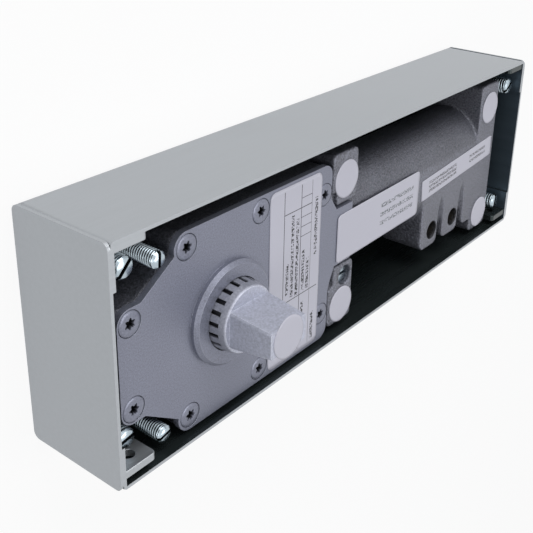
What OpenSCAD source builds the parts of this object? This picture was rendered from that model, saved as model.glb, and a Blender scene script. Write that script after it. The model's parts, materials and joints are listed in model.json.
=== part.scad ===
// Floor spring door closer in its cement box.
// Millimetres, +Z up out of the floor. The origin lies on the spindle axis at the underside of the box,
// and +X runs along the box from the spindle towards the spring cylinder.

/* [Cement box] */
// Length of the box
box_l = 341; // [338:1:380]
// Width of the box
box_w = 108; // [106:1:130]
// Height of the box
box_h = 54; // [53:0.5:60]
// Sheet thickness of the box
box_t = 1.5; // [1.2:0.1:1.8]
// Outside bend radius along the floor edges
box_bend_r = 3.2; // [2.5:0.1:5]
// Outside bend radius of the upright corner flanges
box_corner_r = 1.8; // [1.6:0.1:2.2]
// Corner radius of the end walls at the rim
rim_r = 3; // [1:0.5:4]
// Width of the corner flanges inside the end walls
flange_w = 20; // [14:1:24]
// Distance from the end wall to the spindle axis
spindle_inset = 68; // [67:0.5:72]
// Sideways offset of the box from the closer's centre line
side_shift = 4; // [0:0.5:5]

/* [Corner lugs and studs] */
// Length of a lug
lug_l = 16.5; // [13:0.5:18]
// Thickness of a lug
lug_t = 3.5; // [3:0.1:4]
// Height of a lug
lug_h = 15; // [12:0.5:20]
// Gap between the near lugs and their long wall; the far lugs lie against theirs
lug_gap = 3; // [2:0.1:3.5]
// Depth of the lugs below the rim
lug_drop = 0.4; // [0.2:0.1:3]
// Radius of the hole in a lug
lug_hole_r = 2.8; // [2:0.1:3.5]
// Radius of the threaded cover studs
stud_r = 4.8; // [4:0.1:5]
// Distance of the studs from the end walls
stud_inset = 11; // [10.8:0.1:12]
// Distance of the studs from the long walls
stud_side = 15; // [14:0.5:17]
// Depth of the stud tops below the rim
stud_drop = 4; // [2:0.5:8]
// Width across flats of the stud nuts
stud_nut_af = 15; // [14:0.1:15.5]
// Height of the stud nuts
stud_nut_h = 8; // [5:0.5:12]
// Width of the screwdriver slots
slot_w = 1.8; // [1:0.1:2.2]
// Depth of the screwdriver slots
slot_d = 2.4; // [1.5:0.1:3]

/* [Closer body] */
// Gap between the box floor and the closer
lift = 2.5; // [2:0.1:3.5]
// Height of the cast body
body_h = 42.5; // [42:0.1:44]
// Thickness of the casting's floor
floor_t = 4.5; // [4:0.1:5]
// Thickness of the casting's side walls
wall_t = 6; // [5:0.1:7]
// Distance from the spindle axis to the near end of the body
body_left = 62.5; // [62:0.1:64]
// Distance from the spindle axis to the far side of the cam chamber
body_right = 73; // [72:0.1:74]
// Gap between the cam chamber's body and the nearer long wall
side_gap = 2; // [1.5:0.1:2.5]
// Outside radius of the spring cylinder
barrel_r = 22.5; // [22:0.1:23]
// Sideways widening of the cylinder for its oil channel
channel_shift = 11; // [8:0.5:12]
// Radius of the cylinder bore
bore_r = 17.5; // [16.5:0.1:18]
// Radius of the oil channels
channel_r = 2; // [1.5:0.1:2.5]
// Gap between the end flange and the far end wall
end_gap = 23; // [20:0.5:25]
// Thickness of the end flange along the body
end_flange_t = 22; // [21.5:0.5:24]
// Step from the body's side in to the end flange's side
flange_step = 1.5; // [0.5:0.1:2.5]
// Further reach of the casting's feet on the side of the oil channel
far_reach = 4.5; // [0:0.5:6]
// Corner radius of the feet
foot_corner_r = 3; // [2:0.5:6]

/* [Feet] */
// Distance from the spindle axis to the middle feet
mid_foot_x = 86; // [85.5:0.1:86.5]
// Distance of the fixing screws from the body's side
foot_inset = 12; // [11.5:0.1:12.5]
// Radius of a foot
foot_r = 10; // [9.5:0.1:10.3]
// Height of the foot faces below the cover's top face
foot_drop = 0.5; // [0.3:0.1:1]
// Radius of the fixing screws
fix_r = 4; // [3:0.1:4.5]
// Radius of a fixing screw's head
fix_head_r = 6.5; // [6:0.1:6.8]
// Height of a fixing screw's head
fix_head_h = 8; // [6:0.5:9]
// Radius of the levelling screws
level_r = 3.8; // [3:0.1:4]
// Distance from the spindle axis back to the levelling screws
level_x = 40.5; // [40:0.1:41]
// Distance of the levelling screws from the body's side
level_inset = 6.5; // [6:0.1:7]
// Height of the levelling screws above the box floor
level_l = 49.4; // [46:0.1:50]
// Height of the ears that carry the levelling screws
ear_h = 12; // [8:0.5:16]

/* [Valve block] */
// Distance from the end flange back to the first valve lobe
lobe_back = 51.5; // [50:0.5:53]
// Spacing of the three valve lobes
lobe_pitch = 25; // [24:0.1:25.5]
// Radius of a lobe
lobe_r = 10; // [9.5:0.1:10.5]
// Corner radius of a lobe's free end
lobe_corner_r = 5; // [3:0.5:8]
// Distance of the lobe centres from the cylinder's centre line
lobe_y = 26.5; // [25.5:0.1:27]
// Length of the grooves that run on from the gaps between the lobes
lobe_depth = 30; // [20:0.5:31]
// Depth of the grooves at their outer end
groove_d = 6; // [4:0.1:7]
// Radius of the grooves' round bottom
groove_r = 3; // [2.6:0.1:3.5]
// Radius of the valve bores
valve_r = 5.2; // [4.5:0.1:5.5]
// Distance from a lobe's centre to its valve
valve_shift = 3; // [2:0.1:3.4]
// Depth of a valve's head in its bore
valve_sink = 7; // [3:0.1:8]
// Length of a regulating valve
valve_l = 15; // [14:0.5:16]

/* [Cover plate] */
// Thickness of the cover plate
cover_t = 3; // [2.5:0.1:3.5]
// Thickness of the cover gasket
gasket_t = 0.5; // [0.3:0.1:0.8]
// Radius of the rounded lobes at the two corner screw pairs
cover_lobe_r = 7; // [6.8:0.1:7.5]
// Radius of the spindle boss
boss_r = 24; // [23.5:0.1:25]
// Height of the spindle boss above the cover
boss_h = 3.5; // [3:0.1:4]
// Width of the bevel round the boss
boss_bevel = 1.6; // [1:0.1:2.4]
// Radius of the opening in the boss
opening_r = 16.7; // [16.6:0.1:17.5]
// Radius of a cover screw's head
screw_head_r = 5.5; // [5:0.1:6]
// Length of a cover screw
screw_l = 16; // [12:0.5:18]

/* [Spindle and cam] */
// Greatest opening angle of the door
open_angle = 130; // [90:1:140]
// Carriage travel at the greatest opening angle
cam_lift = 11; // [8:0.5:12]
// Distance from the spindle axis to the front roller with the door shut
front_reach = 21; // [20.6:0.1:22]
// Radius of the rollers
roller_r = 8; // [7:0.1:8.4]
// Thickness of the cam
cam_t = 14; // [12:0.5:14]
// Radius of the cam shaft
shaft_r = 11; // [10:0.1:11.4]
// Radius of the cam shaft's lower journal
journal_r = 10; // [8:0.1:10]
// Radius of the cam shaft's splined head
head_r = 18.5; // [18.2:0.1:18.8]
// Number of splines in the head
spline_n = 20; // [12:1:24]
// Tip radius of the spindle's splines
spline_r = 16.3; // [15.8:0.1:16.4]
// Depth of the splines
spline_d = 1.8; // [1.5:0.1:2.2]
// Height of the splines above the boss
spline_rise = 4.3; // [2:0.1:5]
// Radius of the spindle just above its splines
brow_r = 15.9; // [15.5:0.1:16]
// Radius of the spindle's collar at its rim
collar_r = 15.2; // [14.8:0.1:15.5]
// Height of the collar above the boss
collar_h = 7.5; // [5:0.1:10]
// Height of the flat cone above the collar
cone_h = 21; // [15:0.5:25]
// Length of the flat cone's foot
cone_l0 = 25; // [24:0.1:25.4]
// Length of the flat cone's end
cone_l1 = 22.8; // [21:0.1:24]
// Width of the flat cone's foot
cone_w0 = 16.8; // [15:0.1:18]
// Width of the flat cone's end
cone_w1 = 12; // [11:0.1:14]

/* [Carriage and spring] */
// Width of the slide plates
plate_w = 34; // [30:0.5:36]
// Thickness of the slide plates
plate_t = 3.5; // [3:0.1:3.8]
// Radius of the roller pins
pin_r = 3.5; // [3:0.1:4]
// Distance from the spindle axis to the thrust block
block_x = 40; // [38:0.5:41]
// Thickness of the thrust block
block_t = 6; // [5:0.5:7]
// Radius of the piston rod
rod_r = 5; // [4:0.1:6]
// Distance from the spindle axis to the piston
piston_x = 74; // [72:0.5:76]
// Length of the piston
piston_l = 20; // [16:0.5:22]
// Room between the end plug and the spring plate
adjust_room = 35; // [32:0.5:38]
// Thickness of the spring plate
spring_plate_t = 6; // [5:0.5:7]
// Wire radius of the closing spring
wire_r = 3.2; // [2.5:0.1:3.3]
// Number of turns of the closing spring
spring_turns = 11; // [8:1:14]
// Length of the cylinder's end plug
plug_l = 12; // [10:0.5:13]
// Radius of the spring force screw
force_r = 5; // [4:0.1:5.5]

/* [Fits] */
// Radial clearance of running and threaded fits
fit = 0.05; // [0.03:0.01:0.08]
// Clearance between the cam and a roller
cam_gap = 0.2; // [0.1:0.05:0.3]
// Clearance between loose neighbours
loose = 0.3; // [0.2:0.05:0.4]

/* [Labels] */
// Thickness of the stickers
label_t = 0.2; // [0.15:0.05:0.3]
// Radius of the round stickers
disc_r = 9.7; // [9:0.1:10]

/* [Hidden] */
$fn = 64;
eps = 0.01;

// Box edges in the closer's frame
box_x0 = -spindle_inset;
box_x1 = box_l - spindle_inset;
box_y0 = side_shift - box_w / 2;
box_y1 = side_shift + box_w / 2;
stud_x = [box_x0 + stud_inset, box_x1 - stud_inset];
stud_half = box_w / 2 - stud_side;
stud_y = [side_shift + stud_half, side_shift - stud_half];
stud_top = box_h - stud_drop;
stud_sunk = 4;

// Turns of the slots, in degrees
stud_turns = [45, 10, 35, 80];
level_turns = [86, 15];

// Reach of the closer in its box
body_half_w = box_w / 2 - side_shift - box_t - side_gap;
flange_end = box_x1 - end_gap;
end_flange_x = flange_end - end_flange_t;
end_flange_half_w = body_half_w - flange_step;
level_half = body_half_w - level_inset;
foot_half = body_half_w - foot_inset;
lobe_x = end_flange_x - lobe_back;

// Heights of the closer
body_z0 = box_t + lift;
body_z1 = body_z0 + body_h;
cover_z0 = body_z1 + gasket_t;
cover_z1 = cover_z0 + cover_t;
boss_z = cover_z1 + boss_h;
axis_z = body_z0 + barrel_r;
foot_z = cover_z1 - foot_drop;
cavity_z = body_z0 + floor_t;

// Cover screws, one side of the symmetric pattern
end_lobe_r = 6.5;
near_screw_in = 27.3;
far_screw_in = 14.5;
near_screw_y = body_half_w - near_screw_in;
screws = [[-body_left + end_lobe_r, near_screw_y], [-25, body_half_w - cover_lobe_r],
          [20.5, body_half_w - cover_lobe_r], [body_right - 5.5, body_half_w - far_screw_in]];
screw_thread_r = 2.5;
screw_boss_r = 6;
star_r = 1.6;
corner_r = 6;
notch_start = 12.5;
notch_end = 31;
notch_in = 8.5;
notch = [[-body_left + notch_start, near_screw_y + end_lobe_r],
         [-body_left + notch_end, body_half_w - notch_in]];
tongue_root = 5;
tongue_x = 91.5;
tongue_y = [-9.7, 21];
tongue_flare = 12;

// Feet: middle pair and end pair
end_foot_x = end_flange_x + end_flange_t / 2;
feet = [for (x = [mid_foot_x, end_foot_x], s = [1, -1]) [x, s * foot_half]];
pad_x = [body_right + 2, mid_foot_x + foot_r];
head_z = foot_z - fix_head_h - loose;
nut_h = lift - loose;
fix_nut_af = 13;
fix_hex = 6;
lug_round = 2;

// Valve bores
valve_x = [for (i = [0, 1]) lobe_x + i * lobe_pitch + valve_shift];
valve_top = axis_z + barrel_r - valve_sink;
check_at = [mid_foot_x + 3.2, 15.1 - foot_half];
check_depth = 10;
seal_drop = 9;
block_drop = 4;
gap_half_w = (lobe_pitch - 2 * lobe_r) / 2;

// Spindle stack
bearing_room = 3;
bearing_r = head_r + bearing_room;
hub_drop = 7.8;
hub_r = bearing_r + 2.5;
hub_z = cover_z0 - hub_drop;
lip_z = boss_z - 2.9;
head_z1 = cover_z1 + 0.2;
socket_z = hub_z + 4;
spline_top = boss_z + spline_rise;
collar_z = boss_z + collar_h;
cone_z = collar_z + cone_h;
seat_h = 6;
socket_depth = 20;
cone_blank = 40;
lower_bearing_r = journal_r + bearing_room;
seat_gap = 0.2;
upper_bearing_z = hub_z + 0.4;
upper_bearing_h = cover_z0 - hub_z - 1;
needle_r = 1.1;
bolt_r = 4;
bolt_head_r = 5;
bolt_head_h = 6;
bolt_pocket = 9;
bolt_hex = 5;
bolt_reach = 16;
key_w = 5;
key_h = 4;

// Cam law: the pitch radius grows evenly with the angle, so both rollers stay in touch
lift_per_rad = cam_lift / (open_angle * PI / 180);
rear_reach = front_reach + lift_per_rad * PI;
cam_offset = roller_r + cam_gap;

// Carriage
plate_gap = 0.8;
plate_z = [axis_z - cam_t / 2 - plate_gap - plate_t, axis_z + cam_t / 2 + plate_gap];
roller_h = cam_t - 1;
key_travel = 6;
spring_x0 = piston_x + piston_l;
spring_r = bore_r - wire_r - 1.2;
plug_x = flange_end - plug_l;
spring_plate_x = plug_x - adjust_room;
force_collar_r = 8.5;
force_collar_t = 3;
force_hex = 5;
plug_hex = 17;
carriage_x0 = -rear_reach - 9.5;
carriage_x1 = block_x + block_t;
slot_half_w = shaft_r + 0.5;
plate_corner_r = 5;
block_screw_y = 10;
block_screw_r = 1.5;
block_screw_bite = 4;
block_head_r = 2.8;
block_head_h = 1;

// Check valve in the piston
ball_r = 2.5;
ball_y = 11;
ball_lift = 0.8;
seat_x = 13;
ball_x = seat_x - sqrt(pow(ball_r, 2) - pow(ball_r - 1, 2)) - loose;

// Seal grooves in the piston and in the end plug
seal_w = 2;
seal_depth = 1.8;

// Where the stickers lie: near corner, far corner
rating_box = [26.5, 1.5 - body_half_w, 64.5, body_half_w - 1.5];
notice_box = [79, -9, 159, 17];
strip_box = [notice_box[2] + 4, -3.5, flange_end - 3, 9];
strip_turn = 4;
rating_corner_r = 4;
notice_corner_r = 2.5;
strip_corner_r = 1;

// Round bar along Z or X, and a turned shape from its half section
module bar(r, h) { cylinder(r = r, h = h); }
module turned(points) { rotate_extrude() polygon(points); }
module bar_x(r, h) { rotate([0, 90, 0]) cylinder(r = r, h = h); }
module ring(r_out, r_in, h) {
    difference() {
        cylinder(r = r_out, h = h);
        translate([0, 0, -1]) cylinder(r = r_in, h = h + 2);
    }
}
module hexagon(af) { circle(r = af / sqrt(3), $fn = 6); }
module at_feet() { for (p = feet) translate([p[0], p[1], 0]) children(); }
module at_screws() { for (p = screws, s = [1, -1]) translate([p[0], s * p[1], 0]) children(); }
module rounded(x0, y0, x1, y1, r) {
    translate([x0 + r, y0]) square([x1 - x0 - 2 * r, y1 - y0]);
    translate([x0, y0 + r]) square([x1 - x0, y1 - y0 - 2 * r]);
    for (x = [x0 + r, x1 - r], y = [y0 + r, y1 - r]) translate([x, y]) circle(r = r);
}

// ---------- cement box ----------

// Cross-section of the folded trough: rounded floor edges, open above
module trough_section(inset) {
    r = box_bend_r - inset;
    translate([box_y0 + inset + r, inset]) square([box_w - 2 * inset - 2 * r, r]);
    translate([box_y0 + inset, inset + r]) square([box_w - 2 * inset, box_h - inset - r + 2 * inset]);
    for (y = [box_y0 + inset + r, box_y1 - inset - r]) translate([y, inset + r]) circle(r = r);
}
// Lays a YZ section out along X
module along_x(x0, x1) {
    translate([x0, 0, 0]) rotate([90, 0, 90]) linear_extrude(x1 - x0) children();
}
module end_wall(x0) {
    along_x(x0, x0 + box_t) intersection() {
        trough_section(0);
        union() {
            translate([box_y0, 0]) square([box_w, box_h - rim_r]);
            translate([box_y0 + rim_r, 0]) square([box_w - 2 * rim_r, box_h]);
            for (y = [box_y0 + rim_r, box_y1 - rim_r]) translate([y, box_h - rim_r]) circle(r = rim_r);
        }
    }
}
module cement_box() {
    color("silver") {
        for (x = [box_x0, box_x1 - box_t]) end_wall(x);
        intersection() {
            along_x(box_x0 + box_t - eps, box_x1 - box_t + eps) difference() {
                trough_section(0);
                trough_section(box_t);
            }
            union() {
                linear_extrude(box_h)
                    rounded(box_x0 + box_t, box_y0, box_x1 - box_t, box_y1, box_corner_r);
                translate([box_x0, box_y0 + box_bend_r, 0])
                    cube([box_l, box_w - 2 * box_bend_r, box_t]);
            }
        }
        for (x = [box_x0 + box_t - eps, box_x1 - 2 * box_t + eps])
            for (y = [box_y0 + box_corner_r / 2, box_y1 - flange_w])
                translate([x, y, box_bend_r])
                    cube([box_t, flange_w - box_corner_r / 2, box_h - box_bend_r]);
    }
}
module corner_lug() {
    rotate([90, 0, 0]) linear_extrude(lug_t, center = true) difference() {
        union() {
            translate([0, -lug_h]) square([lug_l - lug_round, lug_h]);
            translate([0, -lug_h + lug_round]) square([lug_l, lug_h - 2 * lug_round]);
            for (z = [-lug_round, -lug_h + lug_round]) translate([lug_l - lug_round, z])
                circle(r = lug_round);
        }
        translate([lug_l / 2, -lug_h / 2]) circle(r = lug_hole_r);
    }
}
module corner_lugs() {
    inner = 2 * box_t;
    near_y = box_y0 + box_t + lug_gap + lug_t / 2;
    far_y = box_y1 - box_t - 2 * eps - lug_t / 2;
    color("gainsboro") for (y = [near_y, far_y]) {
        translate([box_x0 + inner, y, box_h - lug_drop]) corner_lug();
        translate([box_x1 - inner, y, box_h - lug_drop]) mirror([1, 0, 0]) corner_lug();
    }
}
module stud_nuts() {
    color("gainsboro") for (x = stud_x, y = stud_y) translate([x, y, box_t]) difference() {
        rotate([0, 0, 30]) linear_extrude(stud_nut_h) hexagon(stud_nut_af);
        translate([0, 0, -1]) bar(stud_r + fit, stud_nut_h + 2);
    }
}
// Slotted threaded rod standing from z0 to z1
module slotted_rod(r, z0, z1, slot, depth, turn) {
    bevel = r * 0.2;
    difference() {
        turned([[0, z0], [r, z0], [r, z1 - bevel], [r - bevel, z1], [0, z1]]);
        rotate([0, 0, turn]) translate([-r - 1, -slot / 2, z1 - depth]) cube([2 * r + 2, slot, depth + 1]);
    }
}
module cover_stud(x, y, sunk, turn) {
    color("lightsteelblue") translate([x, y, 0])
        slotted_rod(stud_r, box_t + loose, stud_top - sunk, slot_w, slot_d, turn);
}
module fixing_nuts() {
    color("gainsboro") translate([0, 0, box_t]) at_feet() difference() {
        linear_extrude(nut_h) hexagon(fix_nut_af);
        translate([0, 0, -1]) bar(fix_r + fit, nut_h + 2);
    }
}
module fixing_screws() {
    color("lightsteelblue") at_feet() difference() {
        union() {
            translate([0, 0, box_t + loose]) bar(fix_r, head_z - box_t - loose);
            translate([0, 0, head_z]) bar(fix_head_r, fix_head_h);
        }
        translate([0, 0, head_z + fix_head_h / 2]) linear_extrude(fix_head_h) hexagon(fix_hex);
    }
}
module levelling_screw(s, turn) {
    color("lightsteelblue") translate([-level_x, s * level_half, 0])
        slotted_rod(level_r, box_t + loose, box_t + level_l, slot_w * 0.8, slot_d * 0.8, turn);
}

// ---------- cast body ----------

// Straight-edged part of the outline of the cover and of the cam chamber below it, grown by e
module cover_web(e) {
    n = [notch[0][1] - notch[1][1], notch[1][0] - notch[0][0]] / norm(notch[1] - notch[0]) * e;
    y = body_half_w + e;
    lobe = screws[0];
    upper = [[-body_left - e, lobe[1]], [lobe[0], lobe[1] + end_lobe_r + e], notch[0] + n, notch[1] + n,
             [screws[1][0], y], [body_right - corner_r, y], [body_right + e, body_half_w - corner_r]];
    lower = [for (i = [len(upper) - 1:-1:0]) [upper[i][0], -upper[i][1]]];
    polygon(concat(upper, lower));
}
// The whole outline as a plate of thickness h: the web and its rounded corners
module cover_prism(e, h) {
    linear_extrude(h) cover_web(e);
    for (s = [1, -1]) {
        spot(screws[0][0], s * screws[0][1], end_lobe_r + e, h);
        spot(screws[1][0], s * screws[1][1], cover_lobe_r + e, h);
        spot(body_right - corner_r, s * (body_half_w - corner_r), corner_r + e, h);
    }
}
module spot(x, y, r, h) { if (r > 0.1) translate([x, y, 0]) bar(r, h); }
module chamber() {
    difference() {
        translate([0, 0, cavity_z]) cover_prism(-wall_t, body_h);
        translate([0, 0, body_z0]) at_screws() bar(screw_boss_r, body_h);
        translate([0, 0, cavity_z - eps]) ring(lower_bearing_r + 4, lower_bearing_r + fit, seat_h);
    }
}
// Raised foot pad between two heights of y, with its column down to the casting's underside
module foot_pad(s, y0, y1) {
    translate([mid_foot_x, s * foot_half, body_z0]) bar(foot_r, foot_z - body_z0);
    translate([0, 0, axis_z]) linear_extrude(foot_z - axis_z)
        rounded(pad_x[0], y0, pad_x[1], y1, foot_corner_r);
}
module valve_block() {
    z0 = axis_z - block_drop;
    z1 = axis_z + barrel_r;
    x0 = lobe_x - lobe_r;
    difference() {
        union() {
            translate([x0, -lobe_y, z0]) cube([end_flange_x - x0 + 1, lobe_y, z1 - z0]);
            for (i = [0:2]) translate([lobe_x + i * lobe_pitch, -lobe_y, z0]) linear_extrude(z1 - z0)
                rounded(-lobe_r, -lobe_r, lobe_r, lobe_corner_r, lobe_corner_r);
        }
        // each gap between two lobes runs on as a groove across the top that rises and fades out
        for (i = [0, 1]) translate([lobe_x + (i + 0.5) * lobe_pitch, -lobe_y - lobe_r, 0]) {
            translate([-gap_half_w, -1, z0 - 1]) cube([2 * gap_half_w, lobe_r + 2.5, z1 - z0 + 2]);
            translate([0, 0, z1 - groove_d + groove_r]) rotate([atan(groove_d / lobe_depth), 0, 0]) {
                rotate([-90, 0, 0]) translate([0, 0, -5]) bar(groove_r, lobe_depth + 5);
                translate([-groove_r, -5, 0]) cube([2 * groove_r, lobe_depth + 5, 10]);
            }
        }
    }
}
module closer_housing() {
    color("slategray") difference() {
        union() {
            translate([0, 0, body_z0]) cover_prism(-0.6, body_h);
            // spring cylinder with its widened side
            for (y = [0, channel_shift]) translate([body_right - 2, y, axis_z])
                bar_x(barrel_r, flange_end - body_right + 2 - 1);
            translate([body_right - 2, 0, axis_z - barrel_r])
                cube([flange_end - body_right + 1, channel_shift, 2 * barrel_r]);
            // cross member between the middle feet
            translate([body_right - 2, -foot_half, body_z0 + 8])
                cube([mid_foot_x + foot_r - body_right + 2, 2 * foot_half, body_h - 8]);
            foot_pad(1, tongue_y[1] + 1.2, foot_half + foot_r + far_reach);
            foot_pad(-1, -foot_half - foot_r, tongue_y[0] - 1.8);
            // end flange with the end feet
            translate([0, 0, body_z0]) linear_extrude(axis_z + barrel_r - body_z0)
                rounded(end_flange_x, -end_flange_half_w, flange_end, end_flange_half_w + far_reach,
                        foot_corner_r);
            for (s = [1, -1]) translate([end_foot_x, s * foot_half, body_z0]) bar(foot_r, foot_z - body_z0);
            valve_block();
            for (s = [1, -1]) translate([-level_x, s * level_half, body_z0]) {
                bar(level_r + 3.5, ear_h);
                translate([0, -s * 6 - 6, 0]) cube([level_r + 10, 12, ear_h]);
            }
        }
        chamber();
        // seat of the cover's tongue
        translate([body_right - 4, tongue_y[0] - tongue_flare - 1, body_z1])
            cube([tongue_root + 5, tongue_y[1] - tongue_y[0] + 1.6 * tongue_flare + 2, 10]);
        translate([body_right - 4, tongue_y[0] - 0.8, body_z1])
            cube([tongue_x - body_right + 4.6, tongue_y[1] - tongue_y[0] + 1.6, 10]);
        translate([body_right - wall_t - 3, 0, axis_z]) bar_x(bore_r, flange_end);
        // keyway that keeps the spring plate from turning
        translate([spring_plate_x - key_travel, 0, axis_z + bore_r - 2])
            translate([0, -key_w / 2 - fit, 0])
                cube([spring_plate_t + 2 * key_travel, key_w + 2 * fit, 4]);
        at_screws() translate([0, 0, cover_z0 - screw_l - 1]) bar(screw_thread_r + fit, screw_l + 2);
        at_feet() {
            translate([0, 0, body_z0 - 1]) bar(fix_r + 0.5, body_h + 10);
            translate([0, 0, head_z]) bar(fix_head_r + 0.7, body_h);
        }
        for (s = [1, -1]) translate([-level_x, s * level_half, body_z0 - 1]) bar(level_r + fit, ear_h + 2);
        for (x = valve_x) {
            translate([x, -lobe_y, valve_top - valve_l - 1]) bar(valve_r, valve_l + valve_sink + 2);
            translate([x, -lobe_y, valve_top - valve_l + 2.3]) rotate([-90, 0, 0])
                bar(channel_r, lobe_y - bore_r * 0.8);
            translate([x, -lobe_y, valve_top - seal_drop]) ring(valve_r + 1.4, valve_r - 1, 2);
        }
        translate([check_at[0], check_at[1], foot_z - check_depth]) bar(valve_r, check_depth + 1);
        // oil channel beside the cylinder
        translate([end_flange_x - 8, channel_shift + barrel_r - 6, axis_z]) rotate([0, -90, 0])
            bar(channel_r, end_flange_x - body_right);
    }
}

// ---------- cover ----------

module cover_gasket() {
    color("dimgray") translate([0, 0, body_z1]) difference() {
        cover_prism(-0.8, gasket_t);
        difference() {
            translate([0, 0, -1]) cover_prism(1 - wall_t, gasket_t + 2);
            translate([0, 0, -2]) at_screws() bar(screw_boss_r, gasket_t + 4);
        }
        translate([0, 0, -1]) at_screws() bar(screw_thread_r + 0.5, gasket_t + 2);
    }
}
module tongue_outline() {
    polygon([[body_right - 1, tongue_y[0] - tongue_flare], [body_right, tongue_y[0] - tongue_flare],
             [body_right + 1.6, tongue_y[0] - tongue_flare * 0.55], [body_right + tongue_root, tongue_y[0]],
             [tongue_x, tongue_y[0]], [tongue_x, tongue_y[1]], [body_right + tongue_root, tongue_y[1]],
             [body_right, tongue_y[1] + tongue_flare * 0.6],
             [body_right - 1, tongue_y[1] + tongue_flare * 0.6]]);
}
module cover_plate() {
    color("lightslategray") difference() {
        union() {
            translate([0, 0, cover_z0]) {
                cover_prism(0, cover_t);
                linear_extrude(cover_t) tongue_outline();
            }
            // spindle boss above, bearing hub below
            turned([[0, hub_z], [hub_r, hub_z], [hub_r, cover_z0 + 1], [boss_r, cover_z0 + 1],
                    [boss_r, boss_z - boss_bevel], [boss_r - boss_bevel, boss_z], [0, boss_z]]);
        }
        turned([[0, hub_z - 1], [bearing_r, hub_z - 1], [bearing_r, lip_z], [opening_r, lip_z],
                [opening_r, boss_z + 1], [0, boss_z + 1]]);
        at_screws() turned([[0, cover_z0 - 1], [screw_thread_r + 0.5, cover_z0 - 1],
            [screw_thread_r + 0.5, cover_z0 + 0.4], [screw_head_r + loose, cover_z1 - 0.4],
            [screw_head_r + loose, cover_z1 + 1], [0, cover_z1 + 1]]);
    }
}
module cover_screws() {
    color("lightslategray") at_screws() difference() {
        turned([[0, cover_z1 - screw_l], [screw_thread_r, cover_z1 - screw_l],
            [screw_thread_r, cover_z0 + 0.4], [screw_head_r, cover_z1 - 0.4],
            [screw_head_r, cover_z1 - 0.1], [0, cover_z1 - 0.1]]);
        // six-lobed driver recess
        translate([0, 0, cover_z1 - 1.8]) {
            bar(star_r * 0.87, 3);
            for (a = [0:60:300]) rotate([0, 0, a]) translate([star_r, 0, 0]) bar(star_r * 0.37, 3);
        }
    }
}

// ---------- bearings and seals ----------

// A full row of needles, with a little play between neighbours
module needles(pitch_r, h) {
    n = floor(180 / asin((needle_r + 0.02) / pitch_r));
    for (i = [0:n - 1]) rotate([0, 0, i * 360 / n]) translate([pitch_r, 0, 0])
        cylinder(r = needle_r, h = h, $fn = 16);
}
module upper_bearing_shell() {
    color("gainsboro") translate([0, 0, upper_bearing_z])
        ring(bearing_r - fit, head_r + 2 * needle_r + 2 * fit, upper_bearing_h);
}
module upper_bearing_needles() {
    color("white") translate([0, 0, upper_bearing_z + 0.5])
        needles(head_r + needle_r + fit, upper_bearing_h - 1);
}
module lower_bearing_shell() {
    color("gainsboro") translate([0, 0, cavity_z + seat_gap])
        ring(lower_bearing_r, journal_r + 2 * needle_r + 2 * fit, seat_h - 3 * seat_gap);
}
module lower_bearing_needles() {
    color("white") translate([0, 0, cavity_z + 0.5])
        needles(journal_r + needle_r + fit, seat_h - 1.2);
}
module shaft_seal() {
    z0 = upper_bearing_z + upper_bearing_h + 0.4;
    color("black") translate([0, 0, z0]) ring(bearing_r - fit, head_r + fit, lip_z - z0 - 0.2);
}

// ---------- valves ----------

module slotted_valve(r, l) {
    difference() {
        turned([[0, -0.8], [r - 2, -0.8], [r - fit, 0.6], [r - fit, l - 0.5], [r - fit - 0.5, l], [0, l]]);
        translate([-r, -0.8, l - 2.2]) cube([2 * r, 1.6, 3]);
    }
}
module regulating_valve(i) {
    color("darkkhaki") translate([valve_x[i], -lobe_y, valve_top - valve_l]) slotted_valve(valve_r, valve_l);
}
module back_check_valve() {
    color("darkkhaki") translate([check_at[0], check_at[1], foot_z - check_depth + 1])
        slotted_valve(valve_r, check_depth - 4);
}
module valve_seals() {
    color("black") for (x = valve_x) translate([x, -lobe_y, valve_top - seal_drop + 0.2])
        ring(valve_r + 1.2, valve_r + fit, 1.6);
}

// ---------- cylinder end, spring and force adjustment ----------

module end_plug() {
    color("silver") translate([plug_x, 0, axis_z]) difference() {
        bar_x(bore_r - fit, plug_l);
        translate([-1, 0, 0]) bar_x(force_r + fit, plug_l + 2);
        translate([plug_l - 4, 0, 0]) rotate([0, 90, 0]) linear_extrude(5) hexagon(plug_hex);
        translate([plug_l * 0.3, 0, 0]) rotate([0, 90, 0])
            ring(bore_r + 1, bore_r - seal_depth, seal_w + 0.4);
    }
}
module end_plug_seal() {
    color("black") translate([plug_x + plug_l * 0.3 + 0.2, 0, axis_z]) rotate([0, 90, 0])
        ring(bore_r - fit, bore_r - seal_depth + fit, seal_w);
}
module force_screw() {
    x0 = spring_plate_x - 5;
    x1 = flange_end - 4.5;
    color("lightsteelblue") difference() {
        union() {
            translate([x0, 0, axis_z]) bar_x(force_r, x1 - x0);
            translate([plug_x - force_collar_t - loose, 0, axis_z]) bar_x(force_collar_r, force_collar_t);
        }
        translate([x1 - 4, 0, axis_z]) rotate([0, 90, 0]) linear_extrude(5) hexagon(force_hex);
    }
}
module spring_plate() {
    color("gray") translate([spring_plate_x, 0, axis_z]) difference() {
        union() {
            bar_x(bore_r - 0.3, spring_plate_t);
            translate([-3, 0, 0]) bar_x(spring_r - wire_r - 0.5, 3 + eps);
            translate([0, -key_w / 2, bore_r - 3]) cube([spring_plate_t, key_w, 4.5]);
        }
        translate([-4, 0, 0]) bar_x(force_r + fit, spring_plate_t + 5);
    }
}
// Where the wire lies after u turns: the first and the last turn are closed
function coil_x(u) = let (
    l = spring_plate_x - spring_x0 - 2 * wire_r - 2 * loose,
    closed = 2 * wire_r + 0.2,
    pitch = (l - 2 * closed) / (spring_turns - 2))
    u < 1 ? u * closed :
    u > spring_turns - 1 ? l - (spring_turns - u) * closed :
    closed + (u - 1) * pitch;
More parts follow.
